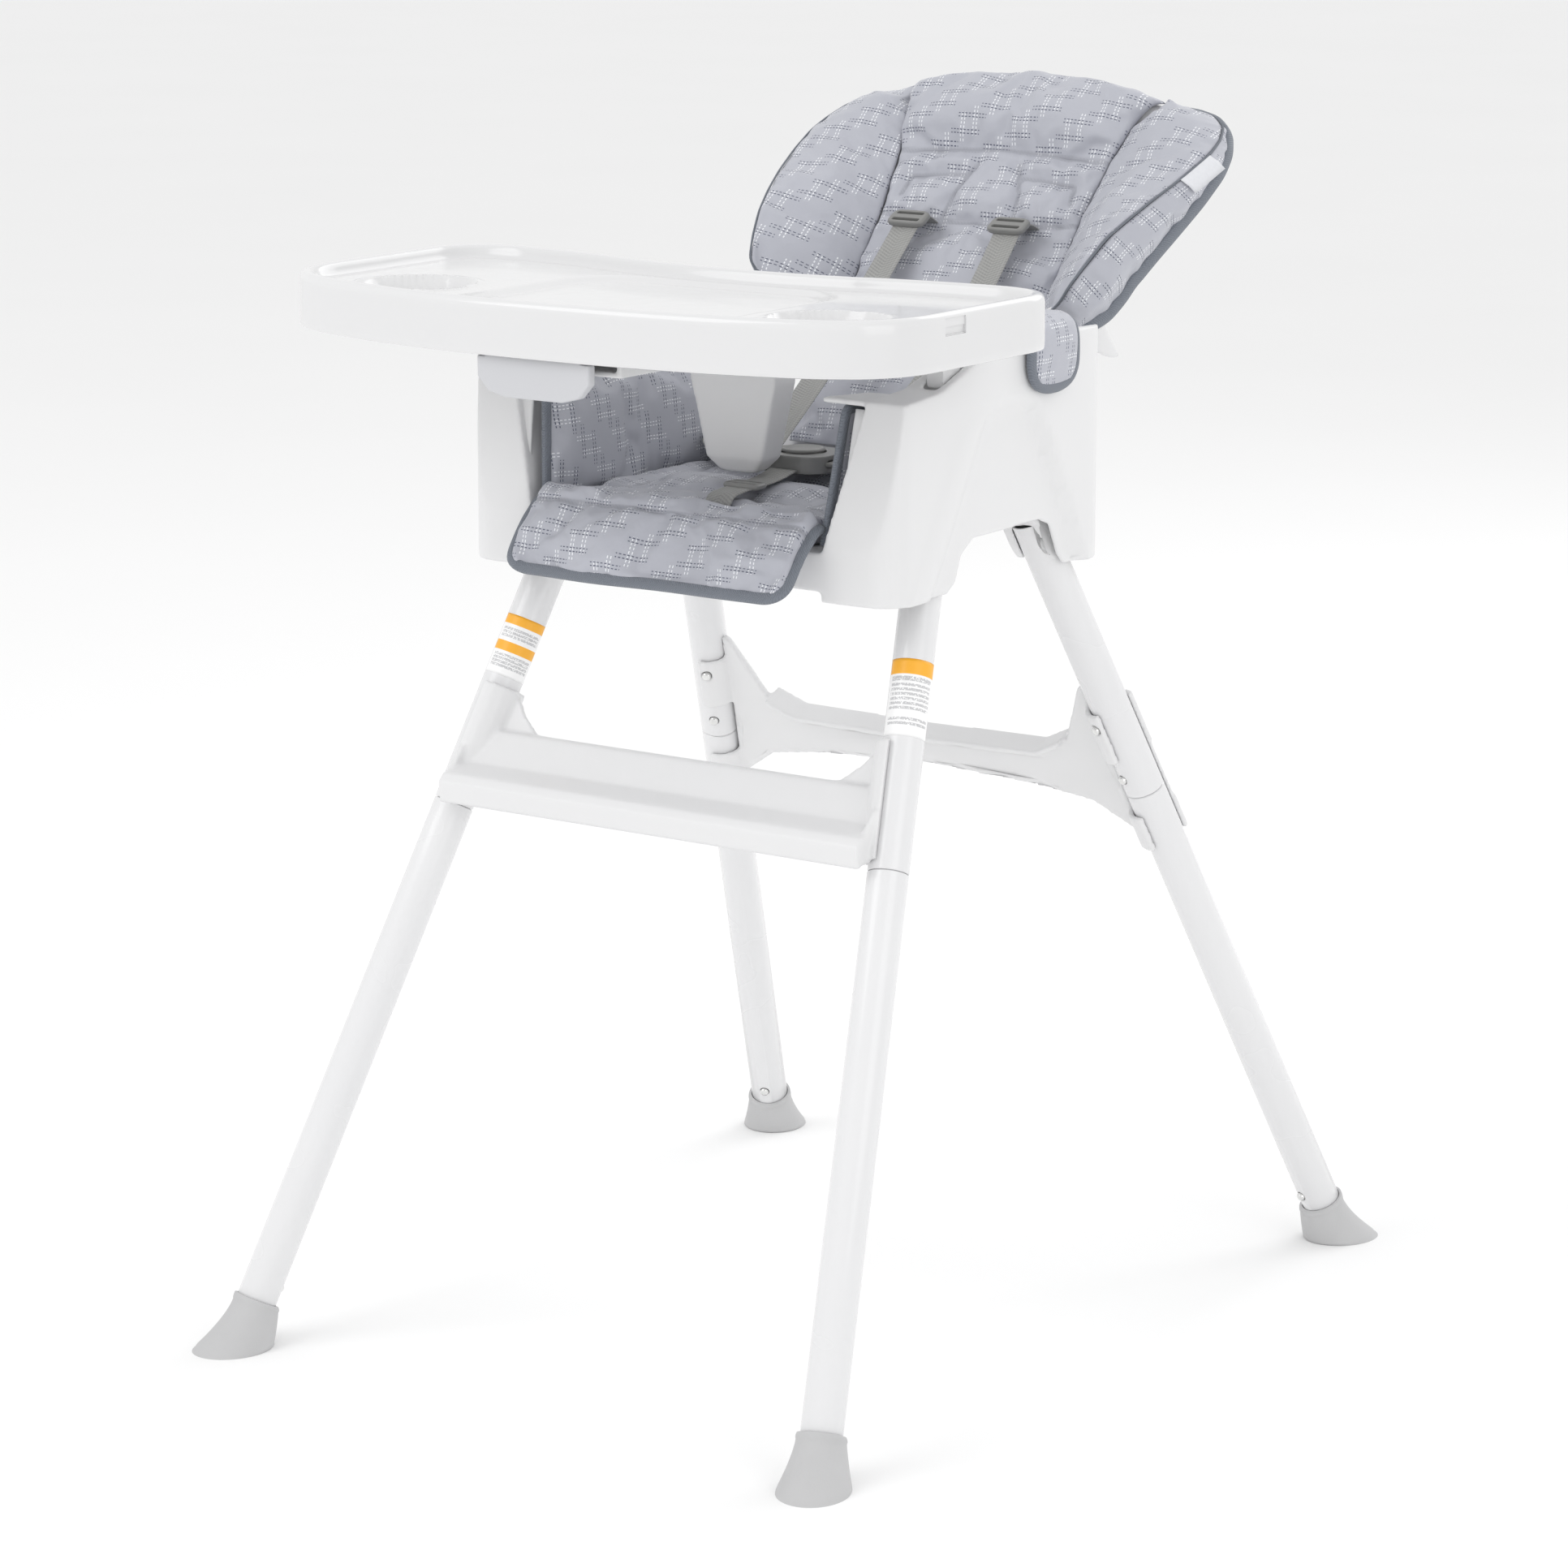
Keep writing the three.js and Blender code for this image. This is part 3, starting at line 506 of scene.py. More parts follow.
def round_off(thing, voxel, passes, keep):
    """Gives a plain shape the soft edges of a moulding: fine remesh, smoothing, fewer faces."""
    remesh = thing.modifiers.new("remesh", "REMESH")
    remesh.mode = "VOXEL"
    remesh.voxel_size = voxel * MM
    smooth = thing.modifiers.new("smooth", "SMOOTH")
    smooth.iterations = passes
    settle(thing)
    thing.modifiers.new("thin", "DECIMATE").ratio = keep
    settle(thing)
    thing.data.shade_smooth()
    return thing


def soften(node, voxel, passes, keep, material, body):
    """A copy of a node's plain shape, rounded off, that stands for the node."""
    thing = bpy.data.objects.new(f"{node}_moulding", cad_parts[node].data.copy())
    scene.collection.objects.link(thing)
    thing.data.materials.clear()
    thing.data.materials.append(material)
    return fit(round_off(thing, voxel, passes, keep), body, node)


def box(name, corners):
    """A cutter on eight corners, the last of their three measures running fastest."""
    return add_mesh(name, corners, [(0, 1, 3, 2), (4, 6, 7, 5), (0, 4, 5, 1), (2, 3, 7, 6),
                                    (0, 2, 6, 4), (1, 5, 7, 3)], None, smooth=False)


def ease(value, low, high):
    share = min(1.0, max(0.0, (value - low) / (high - low)))
    return share * share * (3 - 2 * share)


footrest = soften("footrest", 1.5, 9, 0.5, white_moulding, "frame")
brace = soften("rear_brace", 1.5, 9, 0.5, white_moulding, "frame")

# The footrest's ends hug only the inner side of the legs; the tubes' fronts stay bare
for name in ("front_left", "front_right"):
    matrix, rise, inward = leg_matrix(LEG_PLANS[name])
    centre_side = 1 if (matrix.to_3x3() @ Vector((0, 1, 0))).x * matrix.translation.x < 0 else -1
    corners = [matrix @ (Vector((x, y * centre_side, z)) * MM)
               for x in (-34, 34) for y in (-34, 7) for z in (400 / rise, 560 / rise)]
    cut(footrest, face_outwards(box("shears", corners)))
footrest.data.shade_smooth()
sharpen(footrest, 48)

# Under its flange the brace has shallow crossing ribs
for vertex in brace.data.vertices:
    x, y, z = vertex.co / MM
    if vertex.normal.y < -0.45 and 396 < z < 436 and abs(x) < 190:
        wave = abs(sin(x / 11 + z / 9)) * abs(sin(x / 17 - z / 12))
        vertex.co.y += 3.2 * wave * ease(z, 396, 404) * (1 - ease(z, 428, 436)) * MM

# The sides of the base are pressed in between the front and the rear leg lobes
base = soften("seat_base", 1.6, 10, 0.3, white_moulding, "frame")
for vertex in base.data.vertices:
    x, y, z = vertex.co / MM
    if abs(x) > 186:
        ridge = -44 - (747 - z) * 0.573
        crease = 38 + (738 - z) * 0.56
        sunk = ease(y, ridge, ridge + 16) * (1 - ease(y, crease - 12, crease))
        sunk *= 1 - ease(z, 738, 756)
        flute = ease(y, ridge - 34, ridge - 22) * (1 - ease(y, ridge - 14, ridge))
        flute *= 1 - ease(z, 735, 752)
        vertex.co.x -= (7.5 * sunk - 1.2 * flute) * MM * (1 if x > 0 else -1)

# Hinge pins: plated steel pins that carry the seat back at its foot, one each side. They are
# pressed into the seat base from outside.
for side in ("left", "right"):
    soften(f"hinge_pin_{side}", 0.6, 3, 0.6, steel.material, "frame")

# Seat back shell, recline handle and latch: the white back moulding with the grey squeeze
# handle that lifts a latch bar; all three turn together on the hinge pins.
grey_moulding = moulding("cool_grey_moulding", (0.62, 0.625, 0.645), (0.57, 0.575, 0.59), 0.4,
                         grain=1100)
shell = soften("seat_back_shell", 1.7, 9, 0.3, white_moulding, "seat_back")
soften("recline_handle", 1.2, 5, 0.4, grey_moulding, "recline_handle")
soften("recline_latch", 1.0, 3, 0.4, grey_moulding, "recline_latch")
HINGE_Y, HINGE_Z = 110.0, 683.0
RECLINE = radians(38)


def back_point(x, s, depth):
    """From the seat back's own measures, in mm, to the chair's metres."""
    return np.array((x, HINGE_Y + s * sin(RECLINE) + depth * cos(RECLINE),
                     HINGE_Z + s * cos(RECLINE) - depth * sin(RECLINE))) * MM


# The shell's side fins stand behind the lower end of the wings and end in two curved horns
for vertex in shell.data.vertices:
    x, y, z = vertex.co / MM
    s = (y - HINGE_Y) * sin(RECLINE) + (z - HINGE_Z) * cos(RECLINE)
    if abs(x) > 147:
        share = min(1.0, max(0.0, (165 - s) / 45))
        vertex.co.x -= 21 * share * MM * (1 if x > 0 else -1)
for side in (-1, 1):
    rings = []
    for t in np.arange(25) / 24:
        s = 150 - 30 * t + 22 * t * t
        tall, wide = 19 * (1 - t) ** 0.8 + 1.6, 4.5 * (1 - t) + 1.6
        rings.append([Vector(back_point(side * (136 + 4 * t) + wide * cos(a), s + tall * sin(a),
                                        4 + 62 * t))
                      for a in np.linspace(0, 2 * pi, 20, endpoint=False)])
    fit(loft(f"shell_horn_{side}", rings, white_moulding), "seat_back")

# Tray: one gloss moulding with a deep skirt, a rounded rim, a shelf, a main dish and a cup
# recess at each side. It slides back and forth on two runners.
TRAY_MIDDLE = Vector((0, -215))
tray_gloss = moulding("white_gloss_tray", (0.735, 0.735, 0.74), (0.71, 0.71, 0.715), 0.2,
                      grain=500, depth=0.03, coat=0.35)


def tray_outline(inset):
    """The rim's plan, drawn inwards by the inset, as evenly stepped points."""
    w, front = 285 - inset, -349 + inset
    joints = [
        ((0, front), (130, front), (218 - inset * 0.4, front + 29)),
        ((218 - inset * 0.4, front + 29), (w, front + 50), (w, -236)),
        ((w, -236), (w, -173), (w, -110)),
        ((w, -110), (w, -60 - inset), (236 - inset, -58 - inset)),
        ((236 - inset, -58 - inset), (150, -62 - inset), (110, -76 - inset)),
        ((110, -76 - inset), (60, -86 - inset), (0, -86 - inset)),
    ]
    path = []
    for a, b, c in joints:
        a, b, c = Vector(a), Vector(b), Vector(c)
        for t in np.linspace(0, 1, 24, endpoint=False):
            path.append(a * (1 - t) ** 2 + b * 2 * t * (1 - t) + c * t * t)
    path.append(Vector(joints[-1][2]))
    return path + [Vector((-p.x, p.y)) for p in reversed(path[1:-1])]


def rounded_gap(x, y, middle, half_x, half_y, corner):
    """Distance outside a rounded rectangle, negative inside it."""
    dx = abs(x - middle[0]) - half_x + corner
    dy = abs(y - middle[1]) - half_y + corner
    return hypot(max(dx, 0), max(dy, 0)) + min(max(dx, dy), 0) - corner


def tray_floor_height(x, y):
    height = 838.0
    dish = rounded_gap(x, y, (4, -212), 120, 108, 46)
    height -= 4.0 * (1 - ease(dish, -7, 3))
    for side in (-1, 1):
        gap = hypot(x - side * 192, y + 239) - 46
        height += 1.3 * ease(gap, -5, 1) * (1 - ease(gap, 2, 8))
        height -= (height - 827.5) * (1 - ease(gap, -8, 1))
    return height


RIM_STEPS = [(3.4, 806.4), (1.6, 806), (0.5, 806.5), (0.1, 808), (0, 812), (0, 818), (0, 824),
             (0, 830), (0, 836), (0, 841), (0.3, 843.6), (1.1, 845.8), (2.4, 847.3), (4.2, 848),
             (6.2, 848), (8.0, 847.4), (9.3, 845.8), (10.3, 843.2), (11.2, 840.8), (12.6, 839)]
SHELF_ROWS = 74
rings = [[Vector((p.x, p.y, z)) * MM for p in tray_outline(inset)] for inset, z in RIM_STEPS]
floor_edge = tray_outline(14.5)
for row in range(SHELF_ROWS):
    share = 1 - row / SHELF_ROWS
    ring = []
    for p in floor_edge:
        q = TRAY_MIDDLE + (p - TRAY_MIDDLE) * share
        ring.append(Vector((q.x, q.y, tray_floor_height(q.x, q.y))) * MM)
    rings.append(ring)
count = len(rings[0])
tray_points = [p for ring in rings for p in ring]
tray_faces = ring_faces(count, len(rings))
last = len(tray_points) - count
tray_points.append(Vector((TRAY_MIDDLE.x, TRAY_MIDDLE.y, tray_floor_height(*TRAY_MIDDLE))) * MM)
tray_faces += [(last + i, last + (i + 1) % count, len(tray_points) - 1) for i in range(count)]
tray = add_mesh("tray_moulding", tray_points, tray_faces, tray_gloss)
wall = tray.modifiers.new("wall", "SOLIDIFY")
wall.thickness = 3.4 * MM
wall.offset = -1
settle(tray)

# Each end wall has a sunk latch window: a wide step and a deeper, narrower slot
for side in (-1, 1):
    for depth, low, high in ((283.6, 831, 844), (282.6, 831.8, 837.5)):
        cut(tray, box("window", [Vector((x, y, z)) * MM
                                 for x in sorted((side * depth, side * 290))
                                 for y in (-224, -197) for z in (low, high)]))
fit(sharpen(tray, 40), "tray", "tray")

# Under the tray: the crotch post, the squeeze lever in its housing with its pin, the two latch
# bars that the lever draws, and the runners that sit in the armrest grooves.
soften("crotch_post", 1.4, 24, 0.3, white_moulding, "tray")
soften("lever_housing", 1.1, 4, 0.35, white_moulding, "tray")
soften("lever_pin", 0.5, 2, 0.6, steel.material, "tray")
lever_grey = moulding("pale_grey_moulding", (0.60, 0.605, 0.63), (0.56, 0.565, 0.585), 0.36,
                      grain=1200)
soften("tray_lever", 0.9, 9, 0.35, lever_grey, "tray_lever")
for side in ("left", "right"):
    soften(f"tray_latch_{side}", 1.1, 4, 0.4, grey_moulding, f"tray_latch_{side}")
    runner = soften(f"tray_runner_{side}", 1.2, 4, 0.4, white_moulding, "tray")
    for vertex in runner.data.vertices:
        y = vertex.co.y / MM
        vertex.co.y = (-68 + (y + 68) * 0.28) * MM

# Back pad: printed satin polyester over wadding, in a quilted middle panel and two plump
# wings with a side gusset, piped at the rim and bound with grey tape. It is laced to the shell.
HALF_WIDTHS = [(-8, 118), (20, 122), (112, 122), (132, 156), (183, 170), (237, 185), (299, 196),
               (335, 190), (352, 172), (364, 128), (372, 60)]
RIM_DEPTHS = [(100, 0), (132, -50), (183, -46), (237, -26), (299, 4), (352, 30)]


def between(stations, value):
    heights, values = zip(*stations)
    return float(np.interp(value, heights, values))


def back_depth(x, s):
    share = abs(x) / between(HALF_WIDTHS, s)
    wing = min(1.0, max(0.0, (share - 0.56) / 0.44))
    return between(RIM_DEPTHS, s) * wing ** 1.3


def print_motif(across, up):
    """One crossed motif of stitches: dark pairs lying down and white pairs standing."""

    def pairs(p, q, reach, apart):
        line = abs(abs(abs(q) - apart) - 1.35) < 0.42
        inside = abs(p - 3 * q.sign()) < reach
        dash = (p + 100) % 3.2 < 1.9
        return line * inside * dash

    return pairs(across, up, 13, 6.5), pairs(up, across, 12, 5.5)


def make_print():
    finish = Finish("printed_satin", (0.45, 0.46, 0.51), 0.48, Sheen_Weight=0.25,
                    Sheen_Roughness=0.4)
    # The third place number is each point's distance to the nearest seam, in mm: it places the
    # stitch marks and the painted seam shade.
    u, v, seam = finish.attribute("cloth_place")
    u = u + (finish.noise(30, 2) - 0.5) * 0.8
    first = print_motif((u + 2000) % 51 - 25.5, (v + 2000) % 44 - 22)
    second = print_motif((u + 2025.5) % 51 - 25.5, (v + 2022) % 44 - 22)
    dark, white = first[0] + second[0], first[1] + second[1]
    thread = ((u * 9).sine() * (v * 9).sine()) * 0.5 + 0.5
    ground = finish.mix(finish.noise(6, 4), (0.43, 0.44, 0.49), (0.475, 0.485, 0.54))
    ground = finish.mix(thread * 0.35, ground, (0.5, 0.51, 0.56))
    ground = finish.mix(white.clamp() * 0.9, ground, (0.88, 0.89, 0.92))
    ground = finish.mix(dark.clamp() * 0.92, ground, (0.07, 0.08, 0.13))
    stitches = (abs(seam - 1.9) < 0.35) * ((u + v + 3000) % 3.2 < 1.9)
    ground = finish.mix(stitches * 0.3, ground, (0.3, 0.31, 0.35))
    # Painted seam shade: within about 3 mm of a seam the cloth colour goes to a dark blue-grey,
    # standing in for the shade in the stitched folds.
    painted_seam_shade = (seam * 0.3).clamp() ** 0.7
    finish.colour(finish.mix(painted_seam_shade, (0.22, 0.225, 0.26), ground))
    finish.feed("Roughness", 0.4 + 0.14 * finish.noise(50, 3))
    crease = finish.noise(38, 3, 0.55)
    finish.bump(crease * 0.85 + thread * 0.05 + (dark + white) * 0.03, 0.5, 0.0035)
    return finish.material


def make_tape(name, light, dark, ribs):
    """Woven tape or webbing; its place attribute runs along it in mm and across from -1 to 1."""
    finish = Finish(name, light, 0.7, Sheen_Weight=0.15)
    along, across, _ = finish.attribute("cloth_place")
    weave = (along * ribs + abs(across) * 14).sine() * 0.5 + 0.5
    rows = (across * 30).sine() * 0.5 + 0.5
    stitch = (abs(abs(across) - 0.78) < 0.05) * ((along + 1000) % 3.4 < 2.3)
    tone = finish.mix((weave * 0.6 + rows * 0.2 + finish.noise(60, 3) * 0.3).clamp(), dark, light)
    finish.colour(finish.mix(stitch * 0.5, tone, light))
    finish.feed("Roughness", 0.62 + 0.15 * weave)
    finish.bump(weave * 0.7 + rows * 0.3 - stitch * 0.5, 0.55, 0.0008)
    return finish.material


printed_satin = make_print()
grey_binding = make_tape("grey_binding_tape", (0.2, 0.22, 0.255), (0.14, 0.155, 0.185), 3.0)
grey_webbing = make_tape("grey_webbing", (0.37, 0.37, 0.36), (0.22, 0.22, 0.215), 2.0)
FILL_FRAMES = 16


def lay_cloth(thing, places):
    attribute = thing.data.attributes.new("cloth_place", "FLOAT_VECTOR", "POINT")
    attribute.data.foreach_set("vector", np.asarray(places, np.float32).ravel())


def grid(rows, columns):
    """Empty front points, back points and places for a stuffed piece."""
    return (np.zeros((rows, columns, 3)), np.zeros((rows, columns, 3)),
            np.zeros((rows, columns, 2)))


def quilt(name, front, back, places, hold, material, pressure, cap, grow):
    """A stuffed piece between a front and a back grid that share their rim; hold marks seams."""
    rows, columns = front.shape[:2]
    front_ids = np.arange(rows * columns).reshape(rows, columns)
    back_ids = front_ids.copy()
    back_ids[1:-1, 1:-1] = rows * columns + np.arange((rows - 2) * (columns - 2)).reshape(
        rows - 2, columns - 2)
    points = np.concatenate([front.reshape(-1, 3), back[1:-1, 1:-1].reshape(-1, 3)])
    # Unset place numbers are 40, which puts a point far from any seam and out of the painted seam
    # shade.
    uv = np.full((len(points), 3), 40.0)
    uv[:rows * columns, :places.shape[2]] = places.reshape(rows * columns, -1)
    uv[rows * columns:, :2] = places[1:-1, 1:-1, :2].reshape(-1, 2)
    faces = []
    for r in range(rows - 1):
        for c in range(columns - 1):
            faces.append((front_ids[r, c], front_ids[r, c + 1], front_ids[r + 1, c + 1],
                          front_ids[r + 1, c]))
            faces.append((back_ids[r + 1, c], back_ids[r + 1, c + 1], back_ids[r, c + 1],
                          back_ids[r, c]))
    thing = add_mesh(name, points, [tuple(int(i) for i in f) for f in faces], material)
    lay_cloth(face_outwards(thing), uv)
    pinned = thing.vertex_groups.new(name="hold")
    mask = hold.copy()
    mask[0, :] = mask[-1, :] = mask[:, 0] = mask[:, -1] = True
    fixed = [int(i) for i in front_ids[mask]]
    fixed += list(range(rows * columns, len(points)))
    pinned.add(fixed, 1.0, "REPLACE")
    cloth = thing.modifiers.new("cloth", "CLOTH")
    cloth.settings.quality = 5
    cloth.settings.mass = 0.15
    cloth.settings.tension_stiffness = cloth.settings.compression_stiffness = 14
    cloth.settings.shear_stiffness = 5
    cloth.settings.bending_stiffness = 0.4
    cloth.settings.use_pressure = True
    cloth.settings.uniform_pressure_force = pressure
    cloth.settings.vertex_group_mass = "hold"
    cloth.settings.shrink_min = grow
    cloth.settings.effector_weights.gravity = 0
    cloth.collision_settings.use_collision = False
    cloth.point_cache.frame_start = 1
    cloth.point_cache.frame_end = FILL_FRAMES
    for frame_number in range(1, FILL_FRAMES + 1):
        scene.frame_set(frame_number)
    moved = evaluated(thing)
    after = np.empty(len(points) * 3)
    moved.vertices.foreach_get("co", after)
    bpy.data.meshes.remove(moved)
    shift = after.reshape(-1, 3) - points
    length = np.linalg.norm(shift, axis=1, keepdims=True)
    shift *= np.minimum(1, cap * MM / np.maximum(length, 1e-9))
    thing.modifiers.remove(cloth)
    thing.data.vertices.foreach_set("co", (points + shift).ravel())
    thing.data.update()
    scene.frame_set(1)
    thing.vertex_groups.clear()
    thing.modifiers.new("fine", "SUBSURF").levels = 1
    settle(thing)
    thing.data.shade_smooth()
    return thing


def distance_to(points, line):
    """Distance from each 2-D point to a polyline."""
    best = np.full(points.shape[:-1], 1e9)
    for a, b in zip(line[:-1], line[1:]):
        a, b = np.array(a, float), np.array(b, float)
        t = np.clip(((points - a) @ (b - a)) / max((b - a) @ (b - a), 1e-9), 0, 1)
        best = np.minimum(best, np.linalg.norm(points - a - t[..., None] * (b - a), axis=-1))
    return best


def resample(line, step):
    line = np.asarray(line, float)
    lengths = np.concatenate([[0], np.cumsum(np.linalg.norm(np.diff(line, axis=0), axis=1))])
    count = max(3, int(lengths[-1] / step) + 1)
    return np.stack([np.interp(np.linspace(0, lengths[-1], count), lengths, line[:, i])
                     for i in range(line.shape[1])], axis=1)


def relax(line, passes=4):
    line = line.copy()
    for _ in range(passes):
        line[1:-1] = (line[:-2] + 2 * line[1:-1] + line[2:]) / 4
    return line


def sweep(name, line, ups, half_width, half_thick, material, square=2.0, sides=16, step=3.0,
          passes=3):
    """A band along a line of metre points; ups give the direction of its thickness."""
    both = resample(np.hstack([np.asarray(line, float) / MM, np.asarray(ups, float)]), step)
    path, ups = relax(both[:, :3], passes), relax(both[:, 3:], passes)
    tangents = np.gradient(path, axis=0)
    tangents /= np.linalg.norm(tangents, axis=1, keepdims=True)
    across = np.cross(tangents, ups)
    across /= np.maximum(np.linalg.norm(across, axis=1, keepdims=True), 1e-9)
    thick = np.cross(across, tangents)
    travel = np.concatenate([[0], np.cumsum(np.linalg.norm(np.diff(path, axis=0), axis=1))])
    rings, places = [], []
    for i, p in enumerate(path):
        ring = []
        for k in range(sides):
            a = 2 * pi * k / sides
            c, s = cos(a), sin(a)
            w = np.sign(c) * abs(c) ** (2 / square)
            t = np.sign(s) * abs(s) ** (2 / square)
            ring.append(Vector((p + across[i] * w * half_width + thick[i] * t * half_thick) * MM))
            places.append((travel[i], w, 0))
        rings.append(ring)
    thing = loft(name, rings, material)
    lay_cloth(thing, places)
    return thing


def merge(name, pieces):
    """Several meshes as one object, each keeping its own material."""
    whole = bmesh.new()
    whole_mesh = bpy.data.meshes.new(name)
    for piece in pieces:
        slot = piece.data.materials[0]
        if slot.name not in [m.name for m in whole_mesh.materials]:
            whole_mesh.materials.append(slot)
        index = [m.name for m in whole_mesh.materials].index(slot.name)
        piece.data.polygons.foreach_set("material_index", [index] * len(piece.data.polygons))
        whole.from_mesh(piece.data)
    whole.to_mesh(whole_mesh)
    whole.free()
    for piece in pieces:
        discard(piece)
    thing = bpy.data.objects.new(name, whole_mesh)
    scene.collection.objects.link(thing)
    return thing


WING_SEAM = [(2, 97), (112, 96), (232, 98), (288, 104), (330, 113), (364, 123), (375, 126)]
PAD_CROWNS = [(288, 13.0), (226, 9.5), (-1, 5.5)]
TOP_EDGE = [(0, 374), (60, 371), (100, 367), (128, 362)]
PAD_SEAMS = [
    [(-110, 286), (-70, 289), (0, 292), (70, 289), (110, 286)],
    [(-100, 226), (-60, 222), (0, 221), (60, 222), (100, 226)],
    [(-100, 96), (0, 94), (100, 96)],
    [(-34, 226), (-31, 250), (-24, 268), (-20, 278)], [(34, 226), (31, 250), (24, 268), (20, 278)],
    [(-24, 268), (-52, 266), (-80, 262), (-83, 244)], [(24, 268), (52, 266), (80, 262), (83, 244)],
]


def finish_pad(thing, node, body="frame"):
    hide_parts(node)
    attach(thing, body)


def seam_gap(places, seams):
    """Distance from each place to the nearest seam."""
    return np.min([distance_to(places, line) for line in seams], axis=0)


def middle_panel():
    rows, columns = 88, 53
    front, back, places = grid(rows, columns)
    for r in range(rows):
        for c in range(columns):
            share = 2 * c / (columns - 1) - 1
            top = between(TOP_EDGE, abs(share * 128))
            s = 3 + (top - 3) * r / (rows - 1)
            places[r, c] = (share * between(WING_SEAM, s), s)
    stitched = seam_gap(places, PAD_SEAMS)
    side = places[:, 0]
    rim_gap = seam_gap(places, [side, side * (-1, 1), places[-1], places[0]])
    gap = np.minimum(stitched, rim_gap)
    for r in range(rows):
        for c in range(columns):
            x, s = places[r, c]
            depth = back_depth(x, s)
            rim = r in (0, rows - 1) or c in (0, columns - 1)
            crown = next(height for start, height in PAD_CROWNS if s > start)
            lift = 10.5 - crown * (1 - np.exp(-gap[r, c] / 9))
            front[r, c] = back_point(x, s, depth + (11.0 if rim else lift))
            back[r, c] = back_point(x, s, depth + 14.6)
    # The distance to the stitched seams rides along as the third place number, for the stitch marks
    # and the painted seam shade.
    marked = np.concatenate([places, stitched[..., None]], axis=2)
    return quilt("back_pad_middle", front, back, marked, stitched < 2.3, printed_satin,
                 6.5, 10, -0.06)


WING_RIM = [(118, 128, -30), (124, 146, -44), (134, 156, -54), (158, 163.5, -53), (183, 170, -50),
            (210, 178, -40), (237, 185, -28), (268, 192, -12), (299, 196, 4), (320, 193.5, 15),
            (338, 186, 23), (350, 172, 28), (358, 150, 34), (363, 127, 39)]
PUFF_HEIGHTS = [(112, 0.8), (200, 1), (364, 0.7)]


def wing_rim(t):
    """A point on the wing's rim: height up the back, distance from the middle, depth."""
    stations = np.linspace(0, 1, len(WING_RIM))
    return [float(np.interp(t, stations, values)) for values in zip(*WING_RIM)]


def wing_panel(side):
    rows, columns = 62, 22
    front, back, places = grid(rows, columns)
    for r in range(rows):
        t = r / (rows - 1)
        s_rim, x_rim, depth_rim = wing_rim(t)
        s_seam = 112 + (363 - 112) * t
        x_seam = between(WING_SEAM, s_seam) - 1.5
        for c in range(columns):
            f = c / (columns - 1)
            x = x_seam + (x_rim - x_seam) * f
            s = s_seam + (s_rim - s_seam) * f
            depth = depth_rim * f ** 1.45 + (10 + 28 * max(0, t - 0.84) / 0.16) * (1 - f) ** 2
            near = min(f, 1 - f, t * 2.4, (1 - t) * 2.4) * 2
            puff = 11.0 * (1 - np.exp(-max(0, near) * 2.6)) * min(1, (1 - t) * 7)
            puff *= between(PUFF_HEIGHTS, s)
            places[r, c] = (side * x, s)
            front[r, c] = back_point(side * x, s, depth - puff)
            rim = r in (0, rows - 1) or c in (0, columns - 1)
            back[r, c] = back_point(side * x, s, depth + (0 if rim else 6.0))
    hold = np.zeros((rows, columns), bool)
    return quilt(f"back_pad_wing_{side}", front, back, places, hold, printed_satin, 3.8, 8, -0.04)


GUSSET_WIDTHS = [(118, 22), (124, 40), (134, 54), (150, 63), (168, 64), (190, 60), (237, 46),
                 (299, 24), (335, 10), (362, 5)]
INNER_CORNER = [(104, 112, -4), (112, 114, -14), (120, 116, -24)]


def wing_gusset(side):
    """The band between a wing's rim and its binding, and the binding round the free edge."""
    rows, columns = 62, 10
    front, back, places = grid(rows, columns)
    run = 0.0
    for r in range(rows):
        s, x, depth = wing_rim(r / (rows - 1))
        if r:
            run += hypot(s - old[0], x - old[1], depth - old[2])
        old = (s, x, depth)
        width = between(GUSSET_WIDTHS, s)
        for c in range(columns):
            f = c / (columns - 1)
            out = 8.0 * sin(pi * f) * min(1, width / 30)
            inward = 0.10 * width * f
            places[r, c] = (width * f, run * side)
            front[r, c] = back_point(side * (x + out - inward), s - 2 * f, depth + width * f)
            back[r, c] = back_point(side * (x + out * 0.2 - 2.2 - inward), s - 2 * f,
                                    depth + width * f)
    rim, free, bottom = front[:, 0], front[:, -1], front[0]
    turn = 1 if side > 0 else -1
    panel = quilt(f"gusset_{side}", front[:, ::turn], back[:, ::turn], places[:, ::turn],
                  np.zeros((rows, columns), bool), printed_satin, 2.0, 4, -0.04)
    inner = [back_point(side * x, s, depth) for x, s, depth in INNER_CORNER]
    edge = np.array([*inner, *bottom, *free[1:]]) + np.array((side * 2.0, 0, 0)) * MM
    outwards = np.array([(side, 0, 0)] * len(edge), float)
    outwards[:3] = (side * 0.3, -0.6, -0.5)
    binding = sweep(f"wing_binding_{side}", edge, outwards, 6.6, 3.6, grey_binding, 2.4)
    ups = np.array([(side * 0.7, -0.7, 0)] * len(rim))
    piping = sweep(f"wing_piping_{side}", rim, ups, 0.9, 0.9, grey_binding, 2.0, 8)
    return [panel, binding, piping]


TAG_SECTION = ((0.0, 0.2), (7.0, 5.4), (15.0, 8.2), (15.2, 7.2), (7.0, 4.4), (0.0, -0.8))


